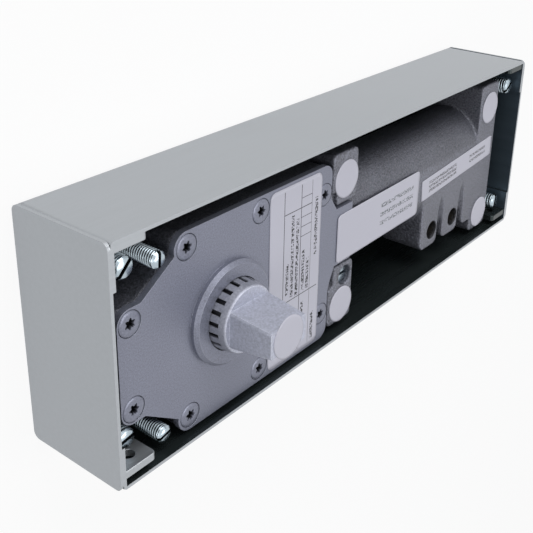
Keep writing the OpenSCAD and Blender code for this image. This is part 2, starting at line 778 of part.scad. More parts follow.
// Points of one round section of the spring wire, at share t of its length
function wire_ring(t, n) = let (
    a = t * spring_turns * 360,
    x = spring_x0 + wire_r + loose + coil_x(t * spring_turns))
    [for (i = [0:n - 1]) let (b = i * 360 / n, r = spring_r + wire_r * cos(b))
        [x + wire_r * sin(b), r * cos(a), axis_z + r * sin(a)]];
module closing_spring() {
    sides = 8;
    steps = spring_turns * 14;
    rings = [for (k = [0:steps]) each wire_ring(k / steps, sides)];
    faces = concat(
        [[for (i = [0:sides - 1]) i]],
        [for (k = [0:steps - 1], i = [0:sides - 1]) let (j = (i + 1) % sides)
            [k * sides + i, (k + 1) * sides + i, (k + 1) * sides + j, k * sides + j]],
        [[for (i = [sides - 1:-1:0]) steps * sides + i]]);
    color("dimgray") polyhedron(rings, faces);
}

// ---------- carriage, pistons and rollers ----------

module carriage_plate() {
    linear_extrude(plate_t) difference() {
        rounded(carriage_x0, -plate_w / 2, carriage_x1, plate_w / 2, plate_corner_r);
        translate([-cam_lift - 0.5, -slot_half_w]) square([cam_lift + 1, 2 * slot_half_w]);
        for (x = [-cam_lift - 0.5, 0.5]) translate([x, 0]) circle(r = slot_half_w);
        for (x = [front_reach, -rear_reach]) translate([x, 0]) circle(r = pin_r + fit);
        for (s = [1, -1]) translate([block_x + block_t / 2, s * block_screw_y])
            circle(r = block_screw_r + 0.1);
    }
}
module carriage_plates() {
    color("steelblue") for (z = plate_z) translate([0, 0, z]) carriage_plate();
}
module carriage_screws() {
    color("silver") for (y = [-block_screw_y, block_screw_y], up = [0, 1])
        translate([block_x + block_t / 2, y, axis_z]) mirror([0, 0, 1 - up]) {
            translate([0, 0, cam_t / 2 + plate_gap - block_screw_bite])
                bar(block_screw_r, plate_t + block_screw_bite);
            translate([0, 0, cam_t / 2 + plate_gap + plate_t]) bar(block_head_r, block_head_h);
        }
}
module thrust_block() {
    h = cam_t + 2 * plate_gap;
    color("slategray") difference() {
        translate([block_x, -plate_w / 2 + 2, axis_z - h / 2]) cube([block_t, plate_w - 4, h]);
        translate([block_x - 1, 0, axis_z]) bar_x(rod_r - 1 + fit, block_t + 2);
        for (y = [-block_screw_y, block_screw_y], z = [axis_z - h / 2 - 1, axis_z + h / 2 - 4.5])
            translate([block_x + block_t / 2, y, z]) bar(block_screw_r + fit, 5.5);
    }
}
module piston_rod() {
    color("silver") {
        translate([block_x + 0.5, 0, axis_z]) bar_x(rod_r - 1, block_t);
        translate([carriage_x1, 0, axis_z]) bar_x(rod_r, piston_x - carriage_x1);
        translate([piston_x - eps, 0, axis_z]) bar_x(rod_r - 1, 8);
    }
}
module piston() {
    color("gray") translate([piston_x, 0, axis_z]) difference() {
        bar_x(bore_r - fit, piston_l);
        translate([-1, 0, 0]) bar_x(rod_r - 1 + fit, 8.1 + 1);
        translate([piston_l - 6, 0, 0]) bar_x(spring_r - wire_r - 1, 7);
        translate([6, 0, 0]) rotate([0, 90, 0]) ring(bore_r + 1, bore_r - seal_depth, seal_w + 0.4);
        // check valve: wide ball chamber with a narrow seat on the spring's side
        translate([-1, ball_y, 0]) bar_x(ball_r - 1, piston_l + 2);
        translate([-1, ball_y, 0]) bar_x(ball_r + 0.3, seat_x + 1);
    }
}
module piston_seal() {
    color("black") translate([piston_x + 6.2, 0, axis_z]) rotate([0, 90, 0])
        ring(bore_r - fit, bore_r - seal_depth + fit, seal_w);
}
module check_ball() {
    color("white") translate([piston_x + ball_x, ball_y, axis_z]) sphere(r = ball_r);
}
module check_ball_cage() {
    x = ball_x - ball_lift - ball_r;
    color("darkkhaki") translate([piston_x + x - 4, ball_y, axis_z]) rotate([0, 90, 0])
        ring(ball_r + 0.25, 1.2, 4);
}
module roller_pins() {
    color("silver") for (x = [front_reach, -rear_reach]) translate([x, 0, plate_z[0] - 0.4])
        bar(pin_r, plate_z[1] + plate_t - plate_z[0] + 0.8);
}
module roller(x) {
    color("lightgray") translate([x, 0, axis_z - roller_h / 2]) difference() {
        bar(roller_r, roller_h);
        translate([0, 0, -1]) bar(pin_r + fit, roller_h + 2);
    }
}

// ---------- spindle, shaft and cam ----------

// One flank of the cam: the pitch spiral set back square to itself by the roller radius
function cam_flank(n) = [for (i = [0:n]) let (
    p = i * 180 / n,
    r = front_reach + lift_per_rad * p * PI / 180,
    q = sqrt(r * r + lift_per_rad * lift_per_rad),
    out = [(lift_per_rad * sin(p) + r * cos(p)) / q, (r * sin(p) - lift_per_rad * cos(p)) / q],
    pt = [r * cos(p), r * sin(p)] - cam_offset * out)
    if (pt[1] > 0.2) pt];
module heart_cam() {
    seat_a = atan(lift_per_rad / front_reach);
    seat = [for (i = [-5:5]) let (a = seat_a * i / 6)
        [front_reach - cam_offset * cos(a), cam_offset * sin(a)]];
    flank = cam_flank(72);
    under = [for (i = [len(flank) - 1:-1:0]) [flank[i][0], -flank[i][1]]];
    color("silver") translate([0, 0, axis_z - cam_t / 2]) difference() {
        linear_extrude(cam_t) polygon(concat(seat, flank, under));
        translate([0, 0, -1]) bar(shaft_r + fit, cam_t + 2);
        translate([-shaft_r, 0, cam_t / 2])
            cube([key_h + 2 * fit, key_w + 2 * fit, cam_t + 2], center = true);
    }
}
module cam_key() {
    color("gray") translate([-shaft_r, 0, axis_z]) cube([key_h, key_w, cam_t - 1], center = true);
}
// Spline outline: r_tip on the teeth, r_root in the gaps, gaps widened by g on each flank
function spline_points(r_tip, r_root, g) = let (p = 360 / spline_n, t = p * 0.3, w = g / r_tip * 180 / PI)
    [for (i = [0:spline_n - 1],
          c = [[-t - w, r_root], [-t - w, r_tip], [0, r_tip], [t + w, r_tip], [t + w, r_root]])
        [c[1] * cos(i * p + c[0]), c[1] * sin(i * p + c[0])]];
module cam_shaft() {
    bolt_l = 20;
    color("silver") difference() {
        union() {
            translate([0, 0, cavity_z + loose]) bar(journal_r, seat_h + 0.5);
            translate([0, 0, cavity_z + seat_h + 0.3]) bar(shaft_r, hub_z - cavity_z - seat_h);
            translate([0, 0, hub_z + 0.2]) bar(head_r, head_z1 - hub_z - 0.2);
        }
        translate([0, 0, socket_z]) linear_extrude(socket_depth)
            polygon(spline_points(spline_r + 0.15, spline_r - spline_d + 0.15, 0.12));
        translate([0, 0, socket_z - bolt_l]) bar(bolt_r + fit, bolt_l + 1);
        translate([-shaft_r, 0, axis_z]) cube([key_h + 2 * fit, key_w + 2 * fit, cam_t], center = true);
    }
}
module spindle() {
    root = spline_r - spline_d;
    z0 = socket_z + 0.1;
    rim = 0.5;
    color("slategray") difference() {
        union() {
            // splined foot, tapering above the boss
            intersection() {
                translate([0, 0, z0]) linear_extrude(spline_top - z0)
                    polygon(spline_points(spline_r, root, 0));
                turned([[0, z0], [spline_r, z0], [spline_r, boss_z], [brow_r, spline_top], [0, spline_top]]);
            }
            // collar above the splines, with a bevelled rim
            turned([[0, z0], [root - 0.2, z0], [root - 0.2, spline_top], [brow_r, spline_top],
                    [collar_r, collar_z - rim], [collar_r - rim, collar_z], [0, collar_z]]);
            flat_cone();
        }
        translate([0, 0, z0 - 1]) bar(bolt_r + 0.4, cone_z);
        translate([0, 0, cone_z - bolt_pocket]) bar(bolt_head_r + 0.2, bolt_pocket + 1);
    }
}
// Flat cone: two crossed wedges, corners rounded by a slim round cone
module flat_cone() {
    z0 = collar_z - 2;
    grow = 2 / cone_h;
    translate([0, 0, z0]) intersection() {
        rotate([90, 0, 0]) linear_extrude(cone_blank, center = true)
            wedge(cone_l0 + (cone_l0 - cone_l1) * grow, cone_l1, cone_h + 2);
        rotate([90, 0, 90]) linear_extrude(cone_blank, center = true)
            wedge(cone_w0 + (cone_w0 - cone_w1) * grow, cone_w1, cone_h + 2);
        cylinder(r1 = norm([cone_l0, cone_w0]) / 2 - 0.4, r2 = norm([cone_l1, cone_w1]) / 2 - 0.6,
                 h = cone_h + 2);
        union() {
            bar(collar_r, 2);
            translate([0, 0, 2 - eps]) bar(collar_r + 10, cone_h + eps);
        }
    }
}
module wedge(w0, w1, h) { polygon([[-w0 / 2, 0], [w0 / 2, 0], [w1 / 2, h], [-w1 / 2, h]]); }
module spindle_bolt() {
    z0 = cone_z - bolt_pocket;
    color("silver") difference() {
        union() {
            translate([0, 0, socket_z - bolt_reach]) bar(bolt_r, z0 - socket_z + bolt_reach + 2);
            translate([0, 0, z0 + 0.02]) bar(bolt_head_r, bolt_head_h);
        }
        translate([0, 0, z0 + bolt_head_h / 2]) linear_extrude(bolt_head_h) hexagon(bolt_hex);
    }
}

// ---------- stickers ----------

module foot_stickers() {
    color("white") translate([0, 0, foot_z + 0.02]) at_feet() bar(disc_r, label_t);
}
module spindle_sticker() {
    color("white") translate([0, 0, cone_z + 0.02]) bar(disc_r, label_t);
}
module label(box, z, r) {
    color("white") translate([0, 0, z + 0.02]) linear_extrude(label_t)
        rounded(box[0], box[1], box[2], box[3], r);
}
// The notice slopes from the cover's tongue down to the cylinder
module sloping_label() {
    fall = atan((cover_z1 - axis_z - barrel_r) / (notice_box[2] + 1 - tongue_x));
    translate([tongue_x, 0, cover_z1]) rotate([0, fall, 0]) translate([-tongue_x, 0, 0])
        label(notice_box, 0, notice_corner_r);
}
// The strip is stuck on a little askew
module skewed_label() {
    pivot = [strip_box[0], (strip_box[1] + strip_box[3]) / 2, 0];
    translate(pivot) rotate([0, 0, strip_turn]) translate(-pivot)
        label(strip_box, axis_z + barrel_r, strip_corner_r);
}

cement_box();
corner_lugs();
stud_nuts();
cover_stud(stud_x[0], stud_y[0], 0, stud_turns[0]);  // cover_stud_1
cover_stud(stud_x[0], stud_y[1], stud_sunk, stud_turns[1]);  // cover_stud_2
cover_stud(stud_x[1], stud_y[0], 0, stud_turns[2]);  // cover_stud_3
cover_stud(stud_x[1], stud_y[1], 0, stud_turns[3]);  // cover_stud_4
fixing_nuts();
fixing_screws();
levelling_screw(1, level_turns[0]);  // levelling_screw_1
levelling_screw(-1, level_turns[1]);  // levelling_screw_2
closer_housing();
cover_gasket();
cover_plate();
cover_screws();
upper_bearing_shell();
upper_bearing_needles();
lower_bearing_shell();
lower_bearing_needles();
shaft_seal();
regulating_valve(0);  // closing_speed_valve
regulating_valve(1);  // latching_speed_valve
back_check_valve();
valve_seals();
end_plug();
end_plug_seal();
force_screw();
spring_plate();
closing_spring();
carriage_plates();
carriage_screws();
thrust_block();
piston_rod();
piston();
piston_seal();
check_ball();
check_ball_cage();
roller_pins();
roller(front_reach);  // front_roller
roller(-rear_reach);  // rear_roller
cam_shaft();
heart_cam();
cam_key();
spindle();
spindle_bolt();
foot_stickers();
spindle_sticker();
label(rating_box, cover_z1, rating_corner_r);  // rating_label
sloping_label();  // notice_label
skewed_label();  // strip_label
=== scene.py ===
# %% [markdown]
# # A floor spring door closer in its cement box
#
# The real object is a cast closer that sits in a folded steel box and carries a door on its spindle. This
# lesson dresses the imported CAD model: every piece either keeps its CAD mesh and gets a finish, or is
# replaced by a finer surface in the same place. Lengths are in metres.

# %% Load the fixed frame
import json
import math
import bmesh
import bpy
import numpy as np
from mathutils import Matrix, Vector


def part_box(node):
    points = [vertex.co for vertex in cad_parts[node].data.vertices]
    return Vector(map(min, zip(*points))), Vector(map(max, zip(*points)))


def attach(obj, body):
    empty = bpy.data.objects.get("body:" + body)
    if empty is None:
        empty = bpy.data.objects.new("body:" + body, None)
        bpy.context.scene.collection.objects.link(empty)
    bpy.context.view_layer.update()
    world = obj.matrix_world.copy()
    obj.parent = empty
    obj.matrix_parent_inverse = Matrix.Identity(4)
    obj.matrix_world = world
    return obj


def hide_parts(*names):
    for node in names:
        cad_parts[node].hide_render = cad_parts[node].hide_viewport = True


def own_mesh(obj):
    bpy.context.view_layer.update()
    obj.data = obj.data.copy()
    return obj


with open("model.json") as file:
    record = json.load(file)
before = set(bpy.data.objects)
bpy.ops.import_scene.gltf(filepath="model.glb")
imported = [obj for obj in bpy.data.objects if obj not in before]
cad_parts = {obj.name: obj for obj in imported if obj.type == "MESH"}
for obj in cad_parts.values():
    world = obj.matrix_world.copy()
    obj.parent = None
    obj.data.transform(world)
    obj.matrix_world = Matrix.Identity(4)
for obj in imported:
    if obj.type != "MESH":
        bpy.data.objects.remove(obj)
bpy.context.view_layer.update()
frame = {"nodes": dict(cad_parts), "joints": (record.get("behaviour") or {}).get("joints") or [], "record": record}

nodes = frame["nodes"]
body_of_node = {n: b for b, ns in frame["record"]["behaviour"]["bodies"].items() for n in ns}
slot_of_node = {s["node"]: s["material_slot"] for s in frame["record"]["subparts"]}
MM = 0.001

# %% [markdown]
# ## Camera
#
# The camera comes first, because every later choice is judged through it. It could be aimed with a
# constraint, but its place, its viewing direction and its upward direction say the same in three lines. The
# object lies away from the middle of the lens's axis, which a camera shift gives without tilting the view.

# %% Camera
cam_data = bpy.data.cameras.new("Camera")
cam_data.lens = 60.285
cam_data.sensor_width = 36.0
cam_data.shift_x = -0.02
cam_data.shift_y = -0.15
cam_data.clip_start = 0.01
camera = bpy.data.objects.new("Camera", cam_data)
bpy.context.collection.objects.link(camera)
eye = Vector((-0.2485, 0.1951, 0.2694))
forward = Vector((0.7266, -0.3834, -0.5702)).normalized()
right = forward.cross(Vector((0.2880, 0.9234, -0.2540))).normalized()
turn = Matrix((right, right.cross(forward), -forward)).transposed()
camera.matrix_world = Matrix.Translation(eye) @ turn.to_4x4()
bpy.context.scene.camera = camera
print("camera lens", cam_data.lens, "mm")

# %% [markdown]
# ## Tools for shader nodes
#
# A procedural material is a small network of nodes. Writing each one by hand is slow, so helpers add a node,
# feed its inputs, and make an empty Principled material or an empty group. Values that are the same all
# over a surface are set on the shader's own sockets.

# %% Shader helpers
def add(tree, kind, **settings):
    """Adds a node. Plain names set its properties, and names of inputs set their default values."""
    node = tree.nodes.new("ShaderNode" + kind)
    for key, value in settings.items():
        if hasattr(node, key):
            setattr(node, key, value)
        else:
            node.inputs[key.replace("_", " ")].default_value = value
    return node


def wired(tree, kind, *sources, **settings):
    """Adds a node and feeds its inputs in turn: a socket is linked, a value is set, None is passed over."""
    node = add(tree, kind, **settings)
    for socket, source in zip(node.inputs, sources):
        if isinstance(source, bpy.types.NodeSocket):
            tree.links.new(source, socket)
        elif source is not None:
            socket.default_value = source
    return node


def math_out(tree, operation, *sources, **settings):
    """The result of one Math node."""
    return wired(tree, "Math", *sources, operation=operation, **settings).outputs[0]


def finish_material(name, **constants):
    """A Principled material with its constants on the shader itself. Returns (material, tree, shader)."""
    material = bpy.data.materials.new(name)
    material.use_nodes = True
    tree = material.node_tree
    shader = tree.nodes["Principled BSDF"]
    for key, value in constants.items():
        shader.inputs[key.replace("_", " ")].default_value = value
    return material, tree, shader


def effect_group(name, inputs, outputs):
    """An empty shader node group with named sockets. Returns (group, its input node, its output node)."""
    group = bpy.data.node_groups.new(name, "ShaderNodeTree")
    for label, kind, value in inputs:
        socket = group.interface.new_socket(label, in_out="INPUT", socket_type="NodeSocket" + kind)
        if value is not None:
            socket.default_value = value
    for label, kind in outputs:
        group.interface.new_socket(label, in_out="OUTPUT", socket_type="NodeSocket" + kind)
    return group, group.nodes.new("NodeGroupInput"), group.nodes.new("NodeGroupOutput")


def place(tree, group, **values):
    """Puts a node group in a material with its own values."""
    node = tree.nodes.new("ShaderNodeGroup")
    node.node_tree = group
    for key, value in values.items():
        node.inputs[key.replace("_", " ")].default_value = value
    return node


print("helpers: add, wired, math_out, finish_material, effect_group, place")

# %% [markdown]
# ## Shared effects: grain and brushed streaks
#
# Cast paint, rubber and paper all vary in small spots, and rolled or turned metal varies in streaks. Each
# effect is one group, built once: it takes a scale and an amount, and puts out a brightness factor and a
# height. Copying the noise into every material would give the same look but many places to correct it.

# %% Grain group
grain, g_in, g_out = effect_group(
    "Grain", [("Fine scale", "Float", 900.0), ("Broad scale", "Float", 60.0), ("Amount", "Float", 0.2)],
    [("Factor", "Float"), ("Height", "Float")])
position = add(grain, "TexCoord").outputs["Object"]
fine = wired(grain, "TexNoise", position, None, g_in.outputs["Fine scale"], Detail=3.0, Roughness=0.6)
broad = wired(grain, "TexNoise", position, None, g_in.outputs["Broad scale"], Detail=2.0, Roughness=0.5)
BROAD_SHARE = 0.15
both = math_out(grain, "MULTIPLY_ADD", broad.outputs["Fac"], BROAD_SHARE, fine.outputs["Fac"])
centred = math_out(grain, "SUBTRACT", both, 0.5 + 0.5 * BROAD_SHARE)
factor = math_out(grain, "MULTIPLY_ADD", centred, g_in.outputs["Amount"], 1.0)
grain.links.new(factor, g_out.inputs["Factor"])
grain.links.new(fine.outputs["Fac"], g_out.inputs["Height"])
print("group:", grain.name)

# %% Streak group
streaks, s_in, s_out = effect_group(
    "Streaks", [("Stretch", "Vector", (40.0, 900.0, 900.0)), ("Amount", "Float", 0.1)],
    [("Factor", "Float"), ("Height", "Float")])
position = add(streaks, "TexCoord").outputs["Object"]
stretch = wired(streaks, "Mapping", position, None, None, s_in.outputs["Stretch"])
lines = wired(streaks, "TexNoise", stretch.outputs[0], Scale=1.0, Detail=3.0, Roughness=0.55)
centred = math_out(streaks, "SUBTRACT", lines.outputs["Fac"], 0.5)
factor = math_out(streaks, "MULTIPLY_ADD", centred, s_in.outputs["Amount"], 1.0)
streaks.links.new(factor, s_out.inputs["Factor"])
streaks.links.new(lines.outputs["Fac"], s_out.inputs["Height"])
print("group:", streaks.name)

# %% [markdown]
# ## One way to make a finish
#
# A finish here is a base colour times an effect's factor, a roughness that swings with its height, and a
# small bump from that height. One function builds them all, so that a finish is one line of numbers.

# %% One function for every finish
def scaled_color(tree, color, factor):
    """A colour, socket or plain, times a float socket."""
    return wired(tree, "VectorMath", color, None, None, factor, operation="SCALE").outputs[0]


def finish(name, color, roughness, effect, bump=0.05, rough_swing=0.3, values=None, **constants):
    """Base colour times the effect's factor; roughness swings with the height, which also feeds a bump."""
    material, tree, shader = finish_material(name, **constants)
    group = place(tree, effect, **(values or {}))
    height = group.outputs["Height"]
    tree.links.new(scaled_color(tree, color, group.outputs["Factor"]), shader.inputs["Base Color"])
    rough = math_out(tree, "MULTIPLY_ADD", height, rough_swing, roughness - rough_swing / 2, use_clamp=True)
    tree.links.new(rough, shader.inputs["Roughness"])
    relief = add(tree, "Bump", Strength=1.0, Distance=bump * MM)
    tree.links.new(height, relief.inputs["Height"])
    tree.links.new(relief.outputs[0], shader.inputs["Normal"])
    return material


print("effects for finishes:", grain.name, streaks.name)

# %% [markdown]
# ## Painted light and shade
#
# Shade is painted into recesses, into the spindle's foot and the gaps of its splines, and into the valve
# bores, and light onto the casting's highest flat faces. Painting such places by hand would need a
# texture. Here a finish's colour is scaled once more, by a factor that is a plain ramp over a height, a
# distance from an axis, or an attribute that a piece carries.

# %% Factors by place
def dim(material, build):
    """Scales a finish's base colour by one more factor, a float socket that build(tree) makes."""
    tree = material.node_tree
    base = tree.nodes["Principled BSDF"].inputs["Base Color"]
    tree.links.new(scaled_color(tree, base.links[0].from_socket, build(tree)), base)
    return material


def ramp(tree, socket, x0, x1, y0, y1):
    """Straight line from y0 at x0 to y1 at x1, held flat outside."""
    return wired(tree, "MapRange", socket, x0, x1, y0, y1).outputs["Result"]


def height_of(tree, position):
    """The z of a position socket."""
    return wired(tree, "SeparateXYZ", position).outputs[2]


def distance_from(tree, position, x, y):
    """How far a position lies from an upright axis through x, y."""
    flat = wired(tree, "VectorMath", position, (1, 1, 0), (-x, -y, 0), operation="MULTIPLY_ADD")
    return wired(tree, "VectorMath", flat.outputs[0], operation="LENGTH").outputs["Value"]


def recess_shade_factor(tree):
    """Painted shade in recesses: they carry an attribute that goes from 0 outside to 1 at their bottom."""
    depth = add(tree, "Attribute", attribute_name="hollow").outputs["Fac"]
    return ramp(tree, depth, 0.05, 0.7, 1.0, 0.06)


# Painted shade on the spindle: drops below its top and radii from its axis where the shade begins and ends.
FOOT_DROP = (21.9 * MM, 21.2 * MM)
SPLINE_DROP = (24.4 * MM, 23.8 * MM)
SPLINE_ROOT, SPLINE_TIP = 15.0 * MM, 15.8 * MM


def spindle_shade_factor(tree):
    """Painted shade: the foot below the cone is darker, and the gaps between its splines are darkest."""
    top = float(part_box("spindle")[1][2])
    position = add(tree, "TexCoord").outputs["Object"]
    height = height_of(tree, position)
    foot = ramp(tree, height, top - FOOT_DROP[0], top - FOOT_DROP[1], 0.62, 1.0)
    above = ramp(tree, height, top - SPLINE_DROP[0], top - SPLINE_DROP[1], 0.1, 1.0)
    tooth = ramp(tree, distance_from(tree, position, 0, 0), SPLINE_ROOT, SPLINE_TIP, 0.1, 1.0)
    return math_out(tree, "MULTIPLY", foot, math_out(tree, "MAXIMUM", above, tooth))


# Painted shade inside the valve bores, and painted light on the casting's highest flat faces, between these
# heights.
BORE_R = 5.35 * MM
TOP_FACE_LIGHT_Z = (48.4 * MM, 48.9 * MM)


def casting_light_and_shade(tree):
    """Painted light on the casting's highest flat faces, and painted shade inside the valve bores."""
    position = add(tree, "TexCoord").outputs["Object"]
    total = ramp(tree, height_of(tree, position), *TOP_FACE_LIGHT_Z, 1.0, 1.4)
    for joint in ("closing_speed_turn", "latching_speed_turn"):
        x, y, _ = next(j for j in frame["joints"] if j["name"] == joint)["pos_m"]
        bore_shade = ramp(tree, distance_from(tree, position, x, y), BORE_R, BORE_R + 0.4 * MM, 0.15, 1.0)
        total = math_out(tree, "MULTIPLY", total, bore_shade)
    return total


print("factors: hollow, spindle, casting")

# %% [markdown]
# ## The finishes
#
# Each line is one finish: colour, roughness, effect, depth of the bump in millimetres, swing of the
# roughness, and the effect's own values. The zinc has three: the plated sheet outside, a darker copy that
# paints shade into the trough, and a less dark copy that paints lighter shade on the far wall.

# %% Finishes
FINE = {"Fine_scale": 1500.0, "Broad_scale": 30.0}
SPARKLE = {"Fine_scale": 1000.0, "Broad_scale": 30.0}
PAPER = (0.498, 0.493, 0.564)
COVER = (0.194, 0.203, 0.257)
SPINDLE = (0.450, 0.464, 0.549)


def paper_finish(name):
    """Plain sticker paper, also the ground of the printed labels."""
    return finish(name, PAPER, 0.5, grain, 0.01, 0.15, dict(FINE, Amount=0.06))


looks = {
    "zinc outside": finish("zinc outside", (0.393, 0.413, 0.437), 0.42, streaks, 0.004, 0.16,
                           {"Stretch": (30.0, 500.0, 500.0), "Amount": 0.16}, Metallic=0.75),
    # Painted shade: darker copies of the zinc for the trough and, less dark, for the far wall's inside.
    "zinc inside": finish("zinc inside", (0.032, 0.041, 0.042), 0.28, streaks, 0.01, 0.2,
                          {"Stretch": (20.0, 300.0, 300.0), "Amount": 0.4}, Metallic=0.6),
    "zinc far wall": finish("zinc far wall", (0.065, 0.090, 0.113), 0.35, streaks, 0.004, 0.2,
                            {"Stretch": (300.0, 300.0, 20.0), "Amount": 0.25}, Metallic=0.6),
    # Painted shade in recesses, the spindle's foot and the valve bores; painted light on the casting's tops.
    "bright zinc": dim(finish("bright zinc", (0.425, 0.497, 0.548), 0.24, grain, 0.001, 0.08,
                              dict(FINE, Amount=0.06), Metallic=1.0), recess_shade_factor),
    "cast paint": dim(finish("cast paint", (0.105, 0.108, 0.130), 0.40, grain, 0.55, 0.5,
                             dict(SPARKLE, Amount=2.8), Metallic=0.5), casting_light_and_shade),
    "cover paint": finish("cover paint", COVER, 0.42, grain, 0.08, 0.4,
                          dict(FINE, Amount=1.0), Metallic=0.5),
    "screw paint": dim(finish("screw paint", COVER, 0.38, grain, 0.05, 0.3,
                              dict(SPARKLE, Amount=0.8), Metallic=0.6), recess_shade_factor),
    "spindle paint": dim(finish("spindle paint", SPINDLE, 0.5, grain, 0.12, 0.3,
                                dict(SPARKLE, Amount=0.9), Metallic=0.4), spindle_shade_factor),
    "spindle edge": dim(finish("spindle edge", (0.810, 0.828, 0.900), 0.4, grain, 0.12, 0.3,
                               dict(SPARKLE, Amount=1.6), Metallic=0.4), spindle_shade_factor),
    "cover edge": finish("cover edge", (0.254, 0.267, 0.318), 0.38, grain, 0.06, 0.3,
                         dict(SPARKLE, Amount=1.6), Metallic=0.5),
    "machined steel": finish("machined steel", (0.50, 0.50, 0.51), 0.30, streaks, 0.005, 0.2,
                             {"Stretch": (200.0, 200.0, 2500.0), "Amount": 0.2}, Metallic=1.0),
    "ground steel": finish("ground steel", (0.66, 0.67, 0.68), 0.18, grain, 0.003, 0.1,
                           dict(FINE, Amount=0.1), Metallic=1.0),
    "spring steel": finish("spring steel", (0.11, 0.11, 0.115), 0.35, grain, 0.02, 0.3,
                           dict(FINE, Amount=0.3), Metallic=0.9),
    "valve brass": finish("valve brass", (0.58, 0.44, 0.19), 0.28, grain, 0.01, 0.2,
                          dict(FINE, Amount=0.2), Metallic=1.0),
    "black rubber": finish("black rubber", (0.02, 0.02, 0.02), 0.6, grain, 0.03, 0.3,
                           dict(FINE, Amount=0.4)),
    "white paper": paper_finish("white paper"),
}
look_of_slot = {
    "box_sheet": "zinc outside", "zinc_parts": "bright zinc", "cast_body": "cast paint",
    "cover_metal": "cover paint", "spindle_steel": "spindle paint", "bearing_steel": "ground steel",
    "machined_steel": "machined steel", "spring_steel": "spring steel", "valve_brass": "valve brass",
    "seal_rubber": "black rubber", "sticker": "white paper"}
print("finishes:", len(looks))

# %% [markdown]
# ## Carried-over pieces
#
# Most of the closer's works are hidden, and their CAD shapes are exact, so they stay as they are. Each CAD
# object's one material slot gets the finish of its record slot. Pieces that show are replaced further down.

# %% Finish every CAD node
for node_name, node in nodes.items():
    look = looks[look_of_slot[slot_of_node[node_name]]]
    if not node.material_slots:
        node.data.materials.append(look)
    for mslot in node.material_slots:
        mslot.material = look
print("finished CAD nodes:", len(nodes))


# %% [markdown]
# ## Softened copies
#
# Turned, stamped and machined pieces have flat faces and edges with a small radius. A bevel needs clean
# edges, and a CAD mesh is loose triangles, so a copy is merged and its flat faces are joined up before the
# Bevel modifier rounds what is left. Modelling each by hand would only repeat the CAD shape.

# %% Softened copy of a CAD node
def link_piece(name, mesh, node_names, look):
    """An object of a mesh that rides on the body of its first CAD node, and hides the CAD nodes it replaces."""
    obj = bpy.data.objects.new(name, mesh)
    bpy.context.collection.objects.link(obj)
    if not mesh.materials:
        mesh.materials.append(looks[look])
    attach(obj, body_of_node[node_names[0]])
    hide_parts(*node_names)
    return obj


def merged_mesh(name, node_name, flat_angle=1.5):
    """A copy of a CAD mesh with its doubles merged and its flat faces joined."""
    mesh = nodes[node_name].data.copy()
    mesh.name = name
    mesh.materials.clear()
    bm = bmesh.new()
    bm.from_mesh(mesh)
    bmesh.ops.remove_doubles(bm, verts=bm.verts, dist=2e-6)
    if flat_angle:
        bmesh.ops.dissolve_limit(bm, angle_limit=math.radians(flat_angle), verts=bm.verts,
                                 edges=bm.edges)
    bm.to_mesh(mesh)
    bm.free()
    return mesh


def softened(name, node_name, radius, look=None, edge_look=None, segments=2, angle=32.0):
    """A merged copy whose sharp edges get a radius in millimetres, and maybe a finish of their own."""
    mesh = merged_mesh(name, node_name)
    obj = link_piece(name, mesh, [node_name], look or look_of_slot[slot_of_node[node_name]])
    bevel = obj.modifiers.new("Edge radius", "BEVEL")
    if edge_look:
        mesh.materials.append(looks[edge_look])
        bevel.material = len(mesh.materials) - 1
    bevel.width = radius * MM
    bevel.segments = segments
    bevel.limit_method = "ANGLE"
    bevel.angle_limit = math.radians(angle)
    mesh.polygons.foreach_set("use_smooth", np.ones(len(mesh.polygons), bool))
    mesh.set_sharp_from_angle(angle=math.radians(angle))
    weigh = obj.modifiers.new("Flat faces stay flat", "WEIGHTED_NORMAL")
    weigh.keep_sharp = True
    return obj


SOFT = {"corner_lugs": ("lugs", 0.25), "stud_nuts": ("stud_weld_nuts", 0.3),
        "fixing_nuts": ("floor_nuts", 0.3), "fixing_screws": ("socket_screws", 0.2),
        "cover_plate": ("closer_cover", 0.45), "spindle": ("flat_cone_spindle", 0.5),
        "closing_speed_valve": ("closing_valve_screw", 0.2),
        "latching_speed_valve": ("latching_valve_screw", 0.2), "back_check_valve": ("back_check_screw", 0.2)}
own_look = {"corner_lugs": "zinc outside"}
own_edge = {"spindle": "spindle edge", "cover_plate": "cover edge"}
pieces = {}
for node_name, (name, radius) in SOFT.items():
    pieces[node_name] = softened(name, node_name, radius, own_look.get(node_name), own_edge.get(node_name))
    print(name, len(pieces[node_name].data.polygons), "faces")


# %% Finish by place
def face_arrays(mesh):
    """Centres and normals of a mesh's faces, as two arrays."""
    arrays = []
    for field in ("center", "normal"):
        values = np.empty(len(mesh.polygons) * 3)
        mesh.polygons.foreach_get(field, values)
        arrays.append(values.reshape(-1, 3))
    return arrays


# Painted shade: the lugs at the far end, where x > 0, get the dark copy of the zinc.
lugs = pieces["corner_lugs"].data
centres, normals = face_arrays(lugs)
lugs.materials.append(looks["zinc inside"])
lugs.polygons.foreach_set("material_index", (centres[:, 0] > 0).astype(np.int32))
print("far lugs:", int((centres[:, 0] > 0).sum()), "faces in shade")

# %% [markdown]
# ## The folded box
#
# The cement box is one sheet, bright where the plating shows outside. Its inside is painted in shade, with a
# darker copy of the zinc, and the inside of its far wall with a less dark copy. It is a softened copy too, and
# its faces are sorted into an outer and an inner finish by their place: a face is inside when it looks into
# the trough. Three materials on one mesh keep it one sheet.

# %% Folded box
sheet = softened("folded_box", "cement_box", 0.4, "zinc outside")
for look in ("zinc inside", "zinc far wall"):
    sheet.data.materials.append(looks[look])
low, high = (np.array(c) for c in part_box("cement_box"))
centres, normals = face_arrays(sheet.data)
SKIN, FLOOR_TOP, FAR_DEPTH = 1.2 * MM, 5 * MM, 4 * MM
FACING = 0.9
